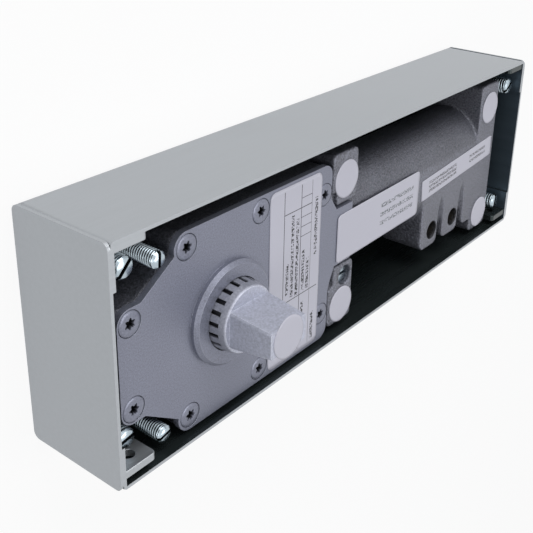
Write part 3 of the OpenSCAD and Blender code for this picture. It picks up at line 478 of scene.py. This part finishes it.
# Painted shade: faces that look into the trough get the dark zinc copy, and the far wall's inner face the less
# dark one.
within = np.all((centres[:, :2] > low[:2] + SKIN) & (centres[:, :2] < high[:2] - SKIN), axis=1)
within &= (centres[:, 2] > low[2] + SKIN) & ((normals[:, 2] < FACING) | (centres[:, 2] < FLOOR_TOP))
far_wall = within & (centres[:, 0] > high[0] - FAR_DEPTH) & (normals[:, 0] < -FACING)
sheet.data.polygons.foreach_set("material_index", within.astype(np.int32) + far_wall.astype(np.int32))
print("far wall:", int(far_wall.sum()))
print("inner faces:", int(within.sum()), "of", len(within))


# %% [markdown]
# ## The casting
#
# A sand casting has no sharp edge anywhere. Its CAD solid does, so a merged copy is rebuilt from small
# voxels and smoothed a few times, which rounds every edge and inner corner by about a millimetre.
# A bevel would fail where the cylinder, the lobes and the feet run into each other.

# %% Casting
def evaluated_mesh(obj, name):
    """The object's mesh with its modifiers applied."""
    graph = bpy.context.evaluated_depsgraph_get()
    mesh = bpy.data.meshes.new_from_object(obj.evaluated_get(graph), depsgraph=graph)
    mesh.name = name
    return mesh


def cast_copy(name, node_name, voxel, rounds, keep, look):
    """Voxel copy of a CAD node: voxel size in millimetres, smoothing rounds, share of triangles kept."""
    rough_mesh = merged_mesh(name + "_source", node_name, 0)
    source = bpy.data.objects.new(name + "_source", rough_mesh)
    bpy.context.collection.objects.link(source)
    remesh = source.modifiers.new("Voxels", "REMESH")
    remesh.mode = "VOXEL"
    remesh.voxel_size = voxel * MM
    smooth = source.modifiers.new("Smooth", "SMOOTH")
    smooth.factor = 0.5
    smooth.iterations = rounds
    thin = source.modifiers.new("Thin", "DECIMATE")
    thin.ratio = keep
    mesh = evaluated_mesh(source, name)
    bpy.data.objects.remove(source)
    mesh.materials.clear()
    mesh.polygons.foreach_set("use_smooth", np.ones(len(mesh.polygons), bool))
    return link_piece(name, mesh, [node_name], look)


casting = cast_copy("closer_casting", "closer_housing", 0.8, 5, 0.42, "cast paint")
casting.data.calc_loop_triangles()
print("casting:", len(casting.data.loop_triangles), "triangles")


# %% [markdown]
# ## Surfaces from formulas
#
# The threaded studs, the closing spring and the stickers are each one formula in two parameters. A helper
# turns a grid of points into a mesh: quads between neighbouring grid points, closed round where asked.

# %% Grid surface helper
def grid_mesh(name, points, wrap_v=False, caps=False):
    """points[u, v] -> a mesh of quads; wrap_v closes each row; caps fills the first and last rings."""
    nu, nv = points.shape[:2]
    index = np.arange(nu * nv).reshape(nu, nv)
    a, b = index[:-1], index[1:]
    if wrap_v:
        a2, b2 = np.roll(a, -1, 1), np.roll(b, -1, 1)
    else:
        a, b, a2, b2 = a[:, :-1], b[:, :-1], a[:, 1:], b[:, 1:]
    quads = np.stack([a, b, b2, a2], -1).reshape(-1, 4).tolist()
    if caps:
        quads += [index[0][::-1].tolist(), index[-1].tolist()]
    mesh = bpy.data.meshes.new(name)
    mesh.from_pydata(points.reshape(-1, 3).tolist(), [], quads)
    mesh.polygons.foreach_set("use_smooth", np.ones(len(mesh.polygons), bool))
    mesh.update()
    return mesh


def outwards(mesh):
    """Turns the faces outwards."""
    bm = bmesh.new()
    bm.from_mesh(mesh)
    bmesh.ops.recalc_face_normals(bm, faces=bm.faces)
    bm.to_mesh(mesh)
    bm.free()
    return mesh


def vertex_array(mesh):
    """A mesh's points as rows of x, y, z."""
    values = np.empty(len(mesh.vertices) * 3)
    mesh.vertices.foreach_get("co", values)
    return values.reshape(-1, 3)


def mark_recess_shade(mesh, values):
    """Stores how deep in a recess each point lies, from 0 to 1, as the strength of the painted shade there."""
    attribute = mesh.attributes.new("hollow", "FLOAT", "POINT")
    attribute.data.foreach_set("value", np.clip(values, 0, 1).astype(np.float32))


print("helpers: grid_mesh, outwards, vertex_array, mark_recess_shade")

# %% [markdown]
# ## Threaded studs and levelling screws
#
# The studs carry a rolled thread and a screwdriver slot. A thread is one surface whose rows follow the helix,
# so that crests and roots stay crisp, and a bump alone would leave the outline smooth. The slot is cut by
# a Boolean, since a grid can't have a groove across its end.

# %% Threaded stud
def thread_points(radius, z0, z1, pitch, depth, bevel, plain, rows=8):
    """Row i follows the helix z = z0 - pitch + (i / rows + a / 2 pi) pitch, held between z0 and z1.

    Its radius is radius - depth V(i / rows), where V is a triangle wave with flat crests and roots. The
    thread fades out before a plain end, and both ends have a 45 degree bevel.
    """
    steepness, crest = 1.25, 0.12
    a = np.linspace(0, 2 * np.pi, 49)[None, :]
    i = np.arange(int(np.ceil(rows * ((z1 - z0) / pitch + 1))) + 1)[:, None]
    z = np.clip(z0 - pitch + (i / rows + a / (2 * np.pi)) * pitch, z0, z1)
    wave = np.abs(2 * (i / rows % 1) - 1)
    fade = np.clip((z1 - plain - z) / (0.5 * pitch), 0, 1)
    r = radius - depth * np.clip(steepness * wave - crest, 0, 1) * fade
    r = np.minimum(r, radius - np.clip(bevel - np.minimum(z1 - z, z - z0), 0, bevel))
    return np.stack([r * np.cos(a), r * np.sin(a), z + 0 * a], -1)


def closed_seam(mesh):
    """Joins the grid's two long sides, where they lie on each other, and closes its two ends."""
    bm = bmesh.new()
    bm.from_mesh(mesh)
    bmesh.ops.remove_doubles(bm, verts=bm.verts, dist=1e-6)
    bmesh.ops.holes_fill(bm, edges=[e for e in bm.edges if e.is_boundary], sides=0)
    bm.to_mesh(mesh)
    bm.free()
    return mesh


def slot_cutter(name, length, width, depth, turn, top):
    """A block across the stud's end, turned about the stud's axis, that a Boolean takes away."""
    mesh = bpy.data.meshes.new(name)
    bm = bmesh.new()
    bmesh.ops.create_cube(bm, size=1.0)
    bmesh.ops.scale(bm, vec=(length, width, 2 * depth), verts=bm.verts)
    bmesh.ops.rotate(bm, cent=(0, 0, 0), matrix=Matrix.Rotation(turn, 3, "Z"), verts=bm.verts)
    bmesh.ops.translate(bm, vec=(0, 0, top), verts=bm.verts)
    bm.to_mesh(mesh)
    bm.free()
    return bpy.data.objects.new(name, mesh)


THREAD_DEPTH = 0.6
END_BEVEL = PLAIN_END = 1.0 * MM
NEAR = 0.01 * MM
SLOT_SHADE = 0.62


def threaded(name, node_name, pitch, slot_width, slot_depth, slot_turn):
    """A stud with its thread and its screwdriver slot, sized by its CAD node; lengths in metres."""
    low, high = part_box(node_name)
    radius = (high[0] - low[0]) / 2
    depth = THREAD_DEPTH * pitch
    turn = math.radians(slot_turn)
    centre = Vector(((low[0] + high[0]) / 2, (low[1] + high[1]) / 2, 0))
    points = thread_points(radius, low[2], high[2], pitch, depth, END_BEVEL, PLAIN_END)
    source = bpy.data.objects.new(name + "_source", outwards(closed_seam(grid_mesh(name, points))))
    cutter = slot_cutter(name + "_cutter", 4 * radius, slot_width, slot_depth, turn, high[2])
    for obj in (source, cutter):
        bpy.context.collection.objects.link(obj)
    cut = source.modifiers.new("Slot", "BOOLEAN")
    cut.operation = "DIFFERENCE"
    cut.solver = "EXACT"
    cut.object = cutter
    result = evaluated_mesh(source, name)
    x, y, z = vertex_array(result).T
    # Painted shade: the slot and the thread's roots carry a shade value that darkens the zinc there.
    across = np.abs(y * math.cos(turn) - x * math.sin(turn))
    in_slot = (across < slot_width / 2 + NEAR) & (z > high[2] - slot_depth - NEAR)
    thread_root_shade = np.where(z < high[2] - PLAIN_END, (radius - np.hypot(x, y)) / depth, 0)
    mark_recess_shade(result, np.where(in_slot, np.minimum((high[2] - z) / (0.4 * MM), SLOT_SHADE), thread_root_shade))
    result.transform(Matrix.Translation(centre))
    result.materials.clear()
    result.set_sharp_from_angle(angle=math.radians(50))
    bpy.data.objects.remove(source)
    bpy.data.objects.remove(cutter)
    return link_piece(name, result, [node_name], "bright zinc")


print("helpers: thread_points, closed_seam, slot_cutter, threaded")

# %% Studs and levelling screws
for number, turn_deg in ((1, 45), (2, 10), (3, 35), (4, 80)):
    stud = threaded("support_stud_%d" % number, "cover_stud_%d" % number,
                    1.5 * MM, 1.8 * MM, 2.4 * MM, turn_deg)
for number, turn_deg in ((1, 86), (2, 15)):
    stud = threaded("levelling_stud_%d" % number, "levelling_screw_%d" % number,
                    1.25 * MM, 1.44 * MM, 1.9 * MM, turn_deg)
print("last stud:", stud.name, len(stud.data.polygons), "faces")

# %% [markdown]
# ## Cover screws
#
# Eight countersunk screws with a six-lobe recess hold the cover. A screw is one closed surface of rings:
# from the recess's bottom, up its lobed wall, over the slightly raised head, down the cone and the shank.
# The screws' places are read from the CAD node, as the middles of its separate solids.

# %% Screw surface
def join_meshes(name, meshes):
    """Joins meshes into one."""
    bm = bmesh.new()
    for mesh in meshes:
        bm.from_mesh(mesh)
        bpy.data.meshes.remove(mesh)
    joined = bpy.data.meshes.new(name)
    bm.to_mesh(joined)
    bm.free()
    joined.polygons.foreach_set("use_smooth", np.ones(len(joined.polygons), bool))
    return joined


def screw_points(top, bottom, turn):
    """Rings r_i(a) at heights z_i; the recess follows the star s(a) = 2.1 + 0.5 cos 6 (a - turn), in mm."""
    a = np.linspace(0, 2 * np.pi, 72, endpoint=False)
    star = (2.1 + 0.5 * np.cos(6 * (a - turn))) * MM
    below_top = [(0.75 * star, 2.2), (0.97 * star, 0.1), (star + 0.15 * MM, -0.3), (4.5 * MM, -0.3),
                 (5.1 * MM, -0.18), (5.42 * MM, 0.1), (5.42 * MM, 0.35), (2.5 * MM, 2.7)]
    rings = [(r, top - drop * MM) for r, drop in below_top]
    rings += [(2.5 * MM, bottom + 0.5 * MM), (2.0 * MM, bottom)]
    return np.stack([np.stack([r * np.cos(a), r * np.sin(a), z + 0 * a], -1) for r, z in rings])


def island_middles(points, reach):
    """Middles of groups of points that lie more than reach apart: one pass for each group."""
    middles = []
    while len(points):
        near = np.hypot(*(points - points[0]).T) < reach
        middles.append((points[near].min(axis=0) + points[near].max(axis=0)) / 2)
        points = points[~near]
    return middles


RECESS_R, RECESS_DEPTH, RECESS_FADE = 2.65 * MM, 2.3 * MM, 0.5 * MM
print("helpers: join_meshes, screw_points, island_middles")

# %% Cover screws
low, high = (np.array(c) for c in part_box("cover_screws"))
middles = island_middles(vertex_array(nodes["cover_screws"].data)[:, :2], 14 * MM)
screws = []
for index, (x, y) in enumerate(sorted(map(tuple, middles))):
    points = screw_points(high[2], low[2], math.radians(23 * index)) + np.array([x, y, 0])
    mesh = outwards(grid_mesh("screw_%d" % index, points, wrap_v=True, caps=True))
    px, py, pz = vertex_array(mesh).T
    # Painted shade: points in the six-lobe recess carry a shade value that darkens the screw paint.
    in_recess = (np.hypot(px - x, py - y) < RECESS_R) & (pz > high[2] - RECESS_DEPTH)
    mark_recess_shade(mesh, np.where(in_recess, (high[2] - pz) / RECESS_FADE + 0.2, 0))
    screws.append(mesh)
countersunk = link_piece("countersunk_screws", join_meshes("countersunk_screws", screws), ["cover_screws"],
                         "screw paint")
countersunk.data.set_sharp_from_angle(angle=math.radians(40))
print("cover screws:", len(middles))

# %% [markdown]
# ## Closing spring
#
# The spring is a round wire carried along a helix whose first and last turns lie closed against their
# seats.

# %% Closing spring
WIRE = 3.2 * MM
low, high = (np.array(c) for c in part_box("closing_spring"))
coil_r = (high[1] - low[1]) / 2 - WIRE
axis_y, axis_z = (low[1] + high[1]) / 2, (low[2] + high[2]) / 2
TURNS = 11


def spring_points(turns, wire_sides=12, per_turn=36):
    """Centre line x(u), closed for one turn at each end; the wire's ring lies in the coil radius and x."""
    u = np.linspace(0, turns, turns * per_turn + 1)[:, None]
    length = high[0] - low[0] - 2 * WIRE
    closed = 2 * WIRE + 0.2 * MM
    pitch = (length - 2 * closed) / (turns - 2)
    x = np.where(u < 1, u * closed, closed + (u - 1) * pitch)
    x = np.where(u > turns - 1, length - (turns - u) * closed, x)
    b = np.linspace(0, 2 * np.pi, wire_sides, endpoint=False)[None, :]
    r = coil_r + WIRE * np.cos(b)
    a = 2 * np.pi * u
    along = low[0] + WIRE + x + WIRE * np.sin(b)
    return np.stack([along, axis_y + r * np.cos(a), axis_z + r * np.sin(a)], -1)


coil = outwards(grid_mesh("coil_spring", spring_points(TURNS), wrap_v=True, caps=True))
spring = link_piece("coil_spring", coil, ["closing_spring"], "spring steel")
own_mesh(spring)

# %% [markdown]
# ## Stickers
#
# Paper stickers are thin skins with rounded corners. A disc is a polar grid, slightly domed at its rim. A
# label is a square grid whose four corner squares are drawn in to quarter circles. Both get their
# thickness from Solidify. The one on the spindle is wider than the cone's end, so its free flaps droop.

# %% Round stickers
def disc_points(cx, cy, z, radius, droop=None):
    """Polar grid: z falls by a little near the rim, and by droop(x, y) where nothing carries the paper."""
    r = np.concatenate([[0.02], np.linspace(0.12, 1.0, 12)])[:, None] * radius
    a = np.linspace(0, 2 * np.pi, 64, endpoint=False)[None, :]
    x, y = r * np.cos(a), r * np.sin(a)
    fall = 0.04 * MM * (r / radius) ** 6 + (droop(x, y) if droop else 0 * x)
    return np.stack([cx + x, cy + y, z - fall], -1)


def thicken(obj, thickness):
    """Paper thickness, added below the surface."""
    solid = obj.modifiers.new("Paper", "SOLIDIFY")
    solid.thickness = thickness
    solid.offset = -1
    return obj


def closed_disc(mesh):
    """Fills the small hole at a polar grid's middle, and turns the faces one way."""
    bm = bmesh.new()
    bm.from_mesh(mesh)
    middle = [e for e in bm.edges if e.is_boundary and e.calc_length() < 0.05 * MM]
    bmesh.ops.holes_fill(bm, edges=middle, sides=64)
    bmesh.ops.recalc_face_normals(bm, faces=bm.faces)
    bm.to_mesh(mesh)
    bm.free()
    return mesh


low, high = (np.array(c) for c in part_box("foot_stickers"))
disc_r = 9.7 * MM
paper = (high[2] - low[2]) * 0.9
feet = [(x, y) for x in (low[0] + disc_r, high[0] - disc_r) for y in (low[1] + disc_r, high[1] - disc_r)]
discs = [closed_disc(grid_mesh("disc", disc_points(x, y, high[2], disc_r), wrap_v=True)) for x, y in feet]
thicken(link_piece("foot_discs", join_meshes("foot_discs", discs), ["foot_stickers"], "white paper"), paper)

low, high = (np.array(c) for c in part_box("spindle_sticker"))
flat_half = 6.0 * MM
DROOP = 12.0


def flap(x, y):
    """Past the cone's end, at |y| = flat_half, the paper falls by DROOP times the free length squared."""
    free = np.clip(np.abs(y) - flat_half, 0, None)
    return DROOP * free ** 2


end_disc = closed_disc(grid_mesh("spindle_disc", disc_points(0, 0, high[2], disc_r, flap), wrap_v=True))
thicken(link_piece("spindle_disc", end_disc, ["spindle_sticker"], "white paper"), paper)
print("stickers:", len(discs) + 1, "discs")

# %% [markdown]
# ## Printed labels
#
# The labels carry ruled lines and rows of small type that say nothing: each row is a strip in which a noise
# decides, spot by spot, between ink and paper. Rules and rows are boxes in the label's own plane, which a
# Mapping node gives from Object coordinates, so a label that is stuck on askew has its print askew too.

# %% Type marks group
type_marks, t_in, t_out = effect_group("Type marks", [("Plane", "Vector", None), ("Size", "Float", 1300.0)],
                                       [("Mask", "Float")])
blots = wired(type_marks, "TexNoise", t_in.outputs["Plane"], None, t_in.outputs["Size"], Detail=0.0)
inked = math_out(type_marks, "GREATER_THAN", blots.outputs["Fac"], 0.5)
type_marks.links.new(inked, t_out.inputs["Mask"])
print("group:", type_marks.name)


# %% Printed paper finish
def boxes_mask(tree, split, boxes):
    """One where x and y both lie in any of the boxes (x0, x1, y0, y1), given in millimetres."""
    total = None
    for x0, x1, y0, y1 in boxes:
        inside = [math_out(tree, "COMPARE", socket, (first + last) / 2 * MM, (last - first) / 2 * MM)
                  for socket, first, last in ((split.outputs[0], x0, x1), (split.outputs[1], y0, y1))]
        both = math_out(tree, "MULTIPLY", *inside)
        total = both if total is None else math_out(tree, "MAXIMUM", total, both)
    return total


def printed(name, centre, turn_deg, rules, rows, ink):
    """White paper with solid rules and rows of type marks, in the label's own plane about its centre."""
    material = paper_finish(name)
    tree = material.node_tree
    base = tree.nodes["Principled BSDF"].inputs["Base Color"]
    plane = wired(tree, "Mapping", add(tree, "TexCoord").outputs["Object"], (*centre, 0),
                  (0, 0, math.radians(turn_deg)), vector_type="TEXTURE")
    split = wired(tree, "SeparateXYZ", plane.outputs[0])
    marks = place(tree, type_marks)
    tree.links.new(plane.outputs[0], marks.inputs["Plane"])
    mask = math_out(tree, "MULTIPLY", marks.outputs["Mask"], boxes_mask(tree, split, rows))
    if rules:
        mask = math_out(tree, "MAXIMUM", mask, boxes_mask(tree, split, rules))
    mix = add(tree, "Mix", data_type="RGBA")
    tree.links.new(mask, mix.inputs["Factor"])
    tree.links.new(base.links[0].from_socket, mix.inputs["A"])
    mix.inputs["B"].default_value = (*ink, 1)
    tree.links.new(mix.outputs["Result"], base)
    return material


def centre_of(node_name):
    """Middle of a CAD node's box, in the plane of the label."""
    low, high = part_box(node_name)
    return (low[0] + high[0]) / 2, (low[1] + high[1]) / 2


def line_along_y(x, y0, y1, half):
    """A rule's box, from its place and half its width."""
    return (x - half, x + half, y0, y1)


def line_along_x(y, x0, x1, half):
    """The same, for a rule that runs the other way."""
    return (x0, x1, y - half, y + half)


print("helpers: boxes_mask, printed, line_along_x, line_along_y")

# %% The three prints
rating_rules = [line_along_y(-8.8, -13.3, 43.0, 0.2), line_along_y(3.6, -43.0, 43.0, 0.2),
                line_along_y(11.6, -43.0, 43.0, 0.12), line_along_x(31.6, -8.8, 11.6, 0.2),
                line_along_x(-13.3, -8.8, 17.5, 0.2)]
rating_rules += [line_along_x(y, 3.6, 11.6, 0.15) for y in (36.3, 26.7, 21.9, 17.0)]
rating_rows = [(-7.0, -5.0, -9.6, 6.4), (-3.4, -1.4, -11.8, 29.8), (0.2, 2.2, -12.5, 27.0),
               (5.0, 7.0, -12.0, 9.3), (8.4, 10.4, -12.0, 4.3), (14.2, 16.4, 3.8, 33.4),
               (13.2, 15.4, -42.0, -27.0), (5.0, 7.0, -40.0, -18.0)]
notice_rows = [(0, 34, y - 1.2, y + 1.2) for y in (5.0, 0.0, -5.0)]
strip_rows = [(-34, -2, y - 0.9, y + 0.9) for y in (2.6, 0.0, -2.6)]
strip_rows += [(14, 34, y - 0.9, y + 0.9) for y in (1.6, -1.6)]
STRIP_TURN = 4.0
for name, turn_deg, rules, rows, ink in (
        ("rating", 0.0, rating_rules, rating_rows, (0.02, 0.02, 0.025)),
        ("notice", 0.0, [], notice_rows, (0.16, 0.17, 0.19)),
        ("strip", STRIP_TURN, [], strip_rows, (0.04, 0.04, 0.045))):
    looks[name + " paper"] = printed(name + " paper", centre_of(name + "_label"), turn_deg, rules, rows, ink)
print("printed papers: 3")


# %% Label surfaces
def label_points(half_x, half_y, corner):
    """Square grid; in each corner square a point is drawn in, so that the square becomes a quarter disc."""
    u = np.linspace(-1, 1, 41)[:, None] * half_x
    v = np.linspace(-1, 1, 41)[None, :] * half_y
    x, y = u + 0 * v, v + 0 * u
    dx = np.clip(np.abs(x) - (half_x - corner), 0, None)
    dy = np.clip(np.abs(y) - (half_y - corner), 0, None)
    far = np.hypot(dx, dy)
    pull = np.where(far > 0, np.maximum(dx, dy) / np.where(far > 0, far, 1), 1)
    return np.sign(x) * (np.abs(x) - dx + dx * pull), np.sign(y) * (np.abs(y) - dy + dy * pull)


def label_piece(name, node_name, corner, look, height=None, turned=None):
    """A label over its CAD node; turned is (angle in degrees, length, width) where it is stuck on askew."""
    low, high = (np.array(c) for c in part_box(node_name))
    angle, length, width = turned or (0.0, high[0] - low[0], high[1] - low[1])
    u, v = label_points(length / 2, width / 2, corner)
    cos, sin = math.cos(math.radians(angle)), math.sin(math.radians(angle))
    x = (low[0] + high[0]) / 2 + cos * u - sin * v
    y = (low[1] + high[1]) / 2 + sin * u + cos * v
    z = height(x, y) if height else high[2] + 0 * x
    mesh = outwards(grid_mesh(name, np.stack([x, y, z], -1)))
    return thicken(link_piece(name, mesh, [node_name], look), paper)


label_piece("rating_sticker", "rating_label", 3.5 * MM, "rating paper")
label_piece("strip_sticker", "strip_label", 1.0 * MM, "strip paper", turned=(STRIP_TURN, 84 * MM, 12.5 * MM))
low, high = (np.array(c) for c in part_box("notice_label"))
slope = (high[2] - low[2] - paper) / (high[0] - low[0])
label_piece("notice_sticker", "notice_label", 2.5 * MM, "notice paper",
            lambda x, y: high[2] - slope * (x - low[0]))
print("labels: 3")

# %% [markdown]
# ## Floor, world and lamps
#
# A studio sweep is pale and even. The floor is a plain diffuse surface, and the world is dim. Light Path lets
# both show nearly white to the camera and in reflections, so bare metal mirrors a white studio, and the
# floor still takes a faint shadow. The lamps are large and soft, so that the box's sides differ in tone
# and no pale face clips.

# %% White where it is seen
def seen_white(tree, lit, white, share, output):
    """Camera, transmission and glossy rays get a share of the white shader, and all others the lit one."""
    rays = add(tree, "LightPath").outputs
    seen = math_out(tree, "MAXIMUM", rays["Is Camera Ray"], rays["Is Transmission Ray"])
    seen = math_out(tree, "MAXIMUM", seen, rays["Is Glossy Ray"])
    part = math_out(tree, "MULTIPLY", seen, share)
    mixed = wired(tree, "MixShader", part, lit.outputs[0], white.outputs[0])
    wired(tree, output, mixed.outputs[0])


print("helper: seen_white")

# %% Floor
FLOOR_HALF, FLOOR_WHITE = 6.0, 0.90
corners = [(x * FLOOR_HALF, y * FLOOR_HALF, 0) for x, y in ((-1, -1), (1, -1), (1, 1), (-1, 1))]
floor_mesh = bpy.data.meshes.new("studio_floor")
floor_mesh.from_pydata(corners, [], [(0, 1, 2, 3)])
floor = bpy.data.objects.new("studio_floor", floor_mesh)
bpy.context.collection.objects.link(floor)
floor_look = bpy.data.materials.new("studio floor")
floor_look.use_nodes = True
tree = floor_look.node_tree
tree.nodes.clear()
matt = add(tree, "BsdfDiffuse", Color=(0.8, 0.8, 0.8, 1))
glow = add(tree, "Emission", Color=(1, 1, 1, 1), Strength=1.0)
seen_white(tree, matt, glow, FLOOR_WHITE, "OutputMaterial")
floor_mesh.materials.append(floor_look)
print("floor:", 2 * FLOOR_HALF, "m wide")

# %% World
world = bpy.data.worlds.new("Studio")
bpy.context.scene.world = world
world.use_nodes = True
tree = world.node_tree
tree.nodes.clear()
dull = add(tree, "Background", Color=(0.93, 0.97, 1.0, 1), Strength=0.30)
white = add(tree, "Background", Color=(1, 1, 1, 1), Strength=1.0)
seen_white(tree, dull, white, 1.0, "OutputWorld")
print("world:", world.name)


# %% Lamps
def softbox(name, at, aim, size, power):
    """A square area lamp at one point, aimed at another."""
    data = bpy.data.lights.new(name, "AREA")
    data.shape = "SQUARE"
    data.size = size
    data.energy = power
    lamp = bpy.data.objects.new(name, data)
    lamp.location = at
    lamp.rotation_euler = (Vector(aim) - Vector(at)).to_track_quat("-Z", "Y").to_euler()
    bpy.context.collection.objects.link(lamp)


softbox("key", (0.1, 1.2, 0.6), (0.1, 0, 0), 0.9, 10)
softbox("side", (-1.1, 0.1, 0.6), (0.0, 0, 0), 0.7, 3.4)
softbox("top", (0.2, 0.0, 1.4), (0.1, 0, 0), 0.8, 6.5)
print("lamps: 3")

# %% [markdown]
#
# The Standard view transform shows a colour about as it is written.

# %% Finish
bpy.context.scene.view_settings.view_transform = "Standard"
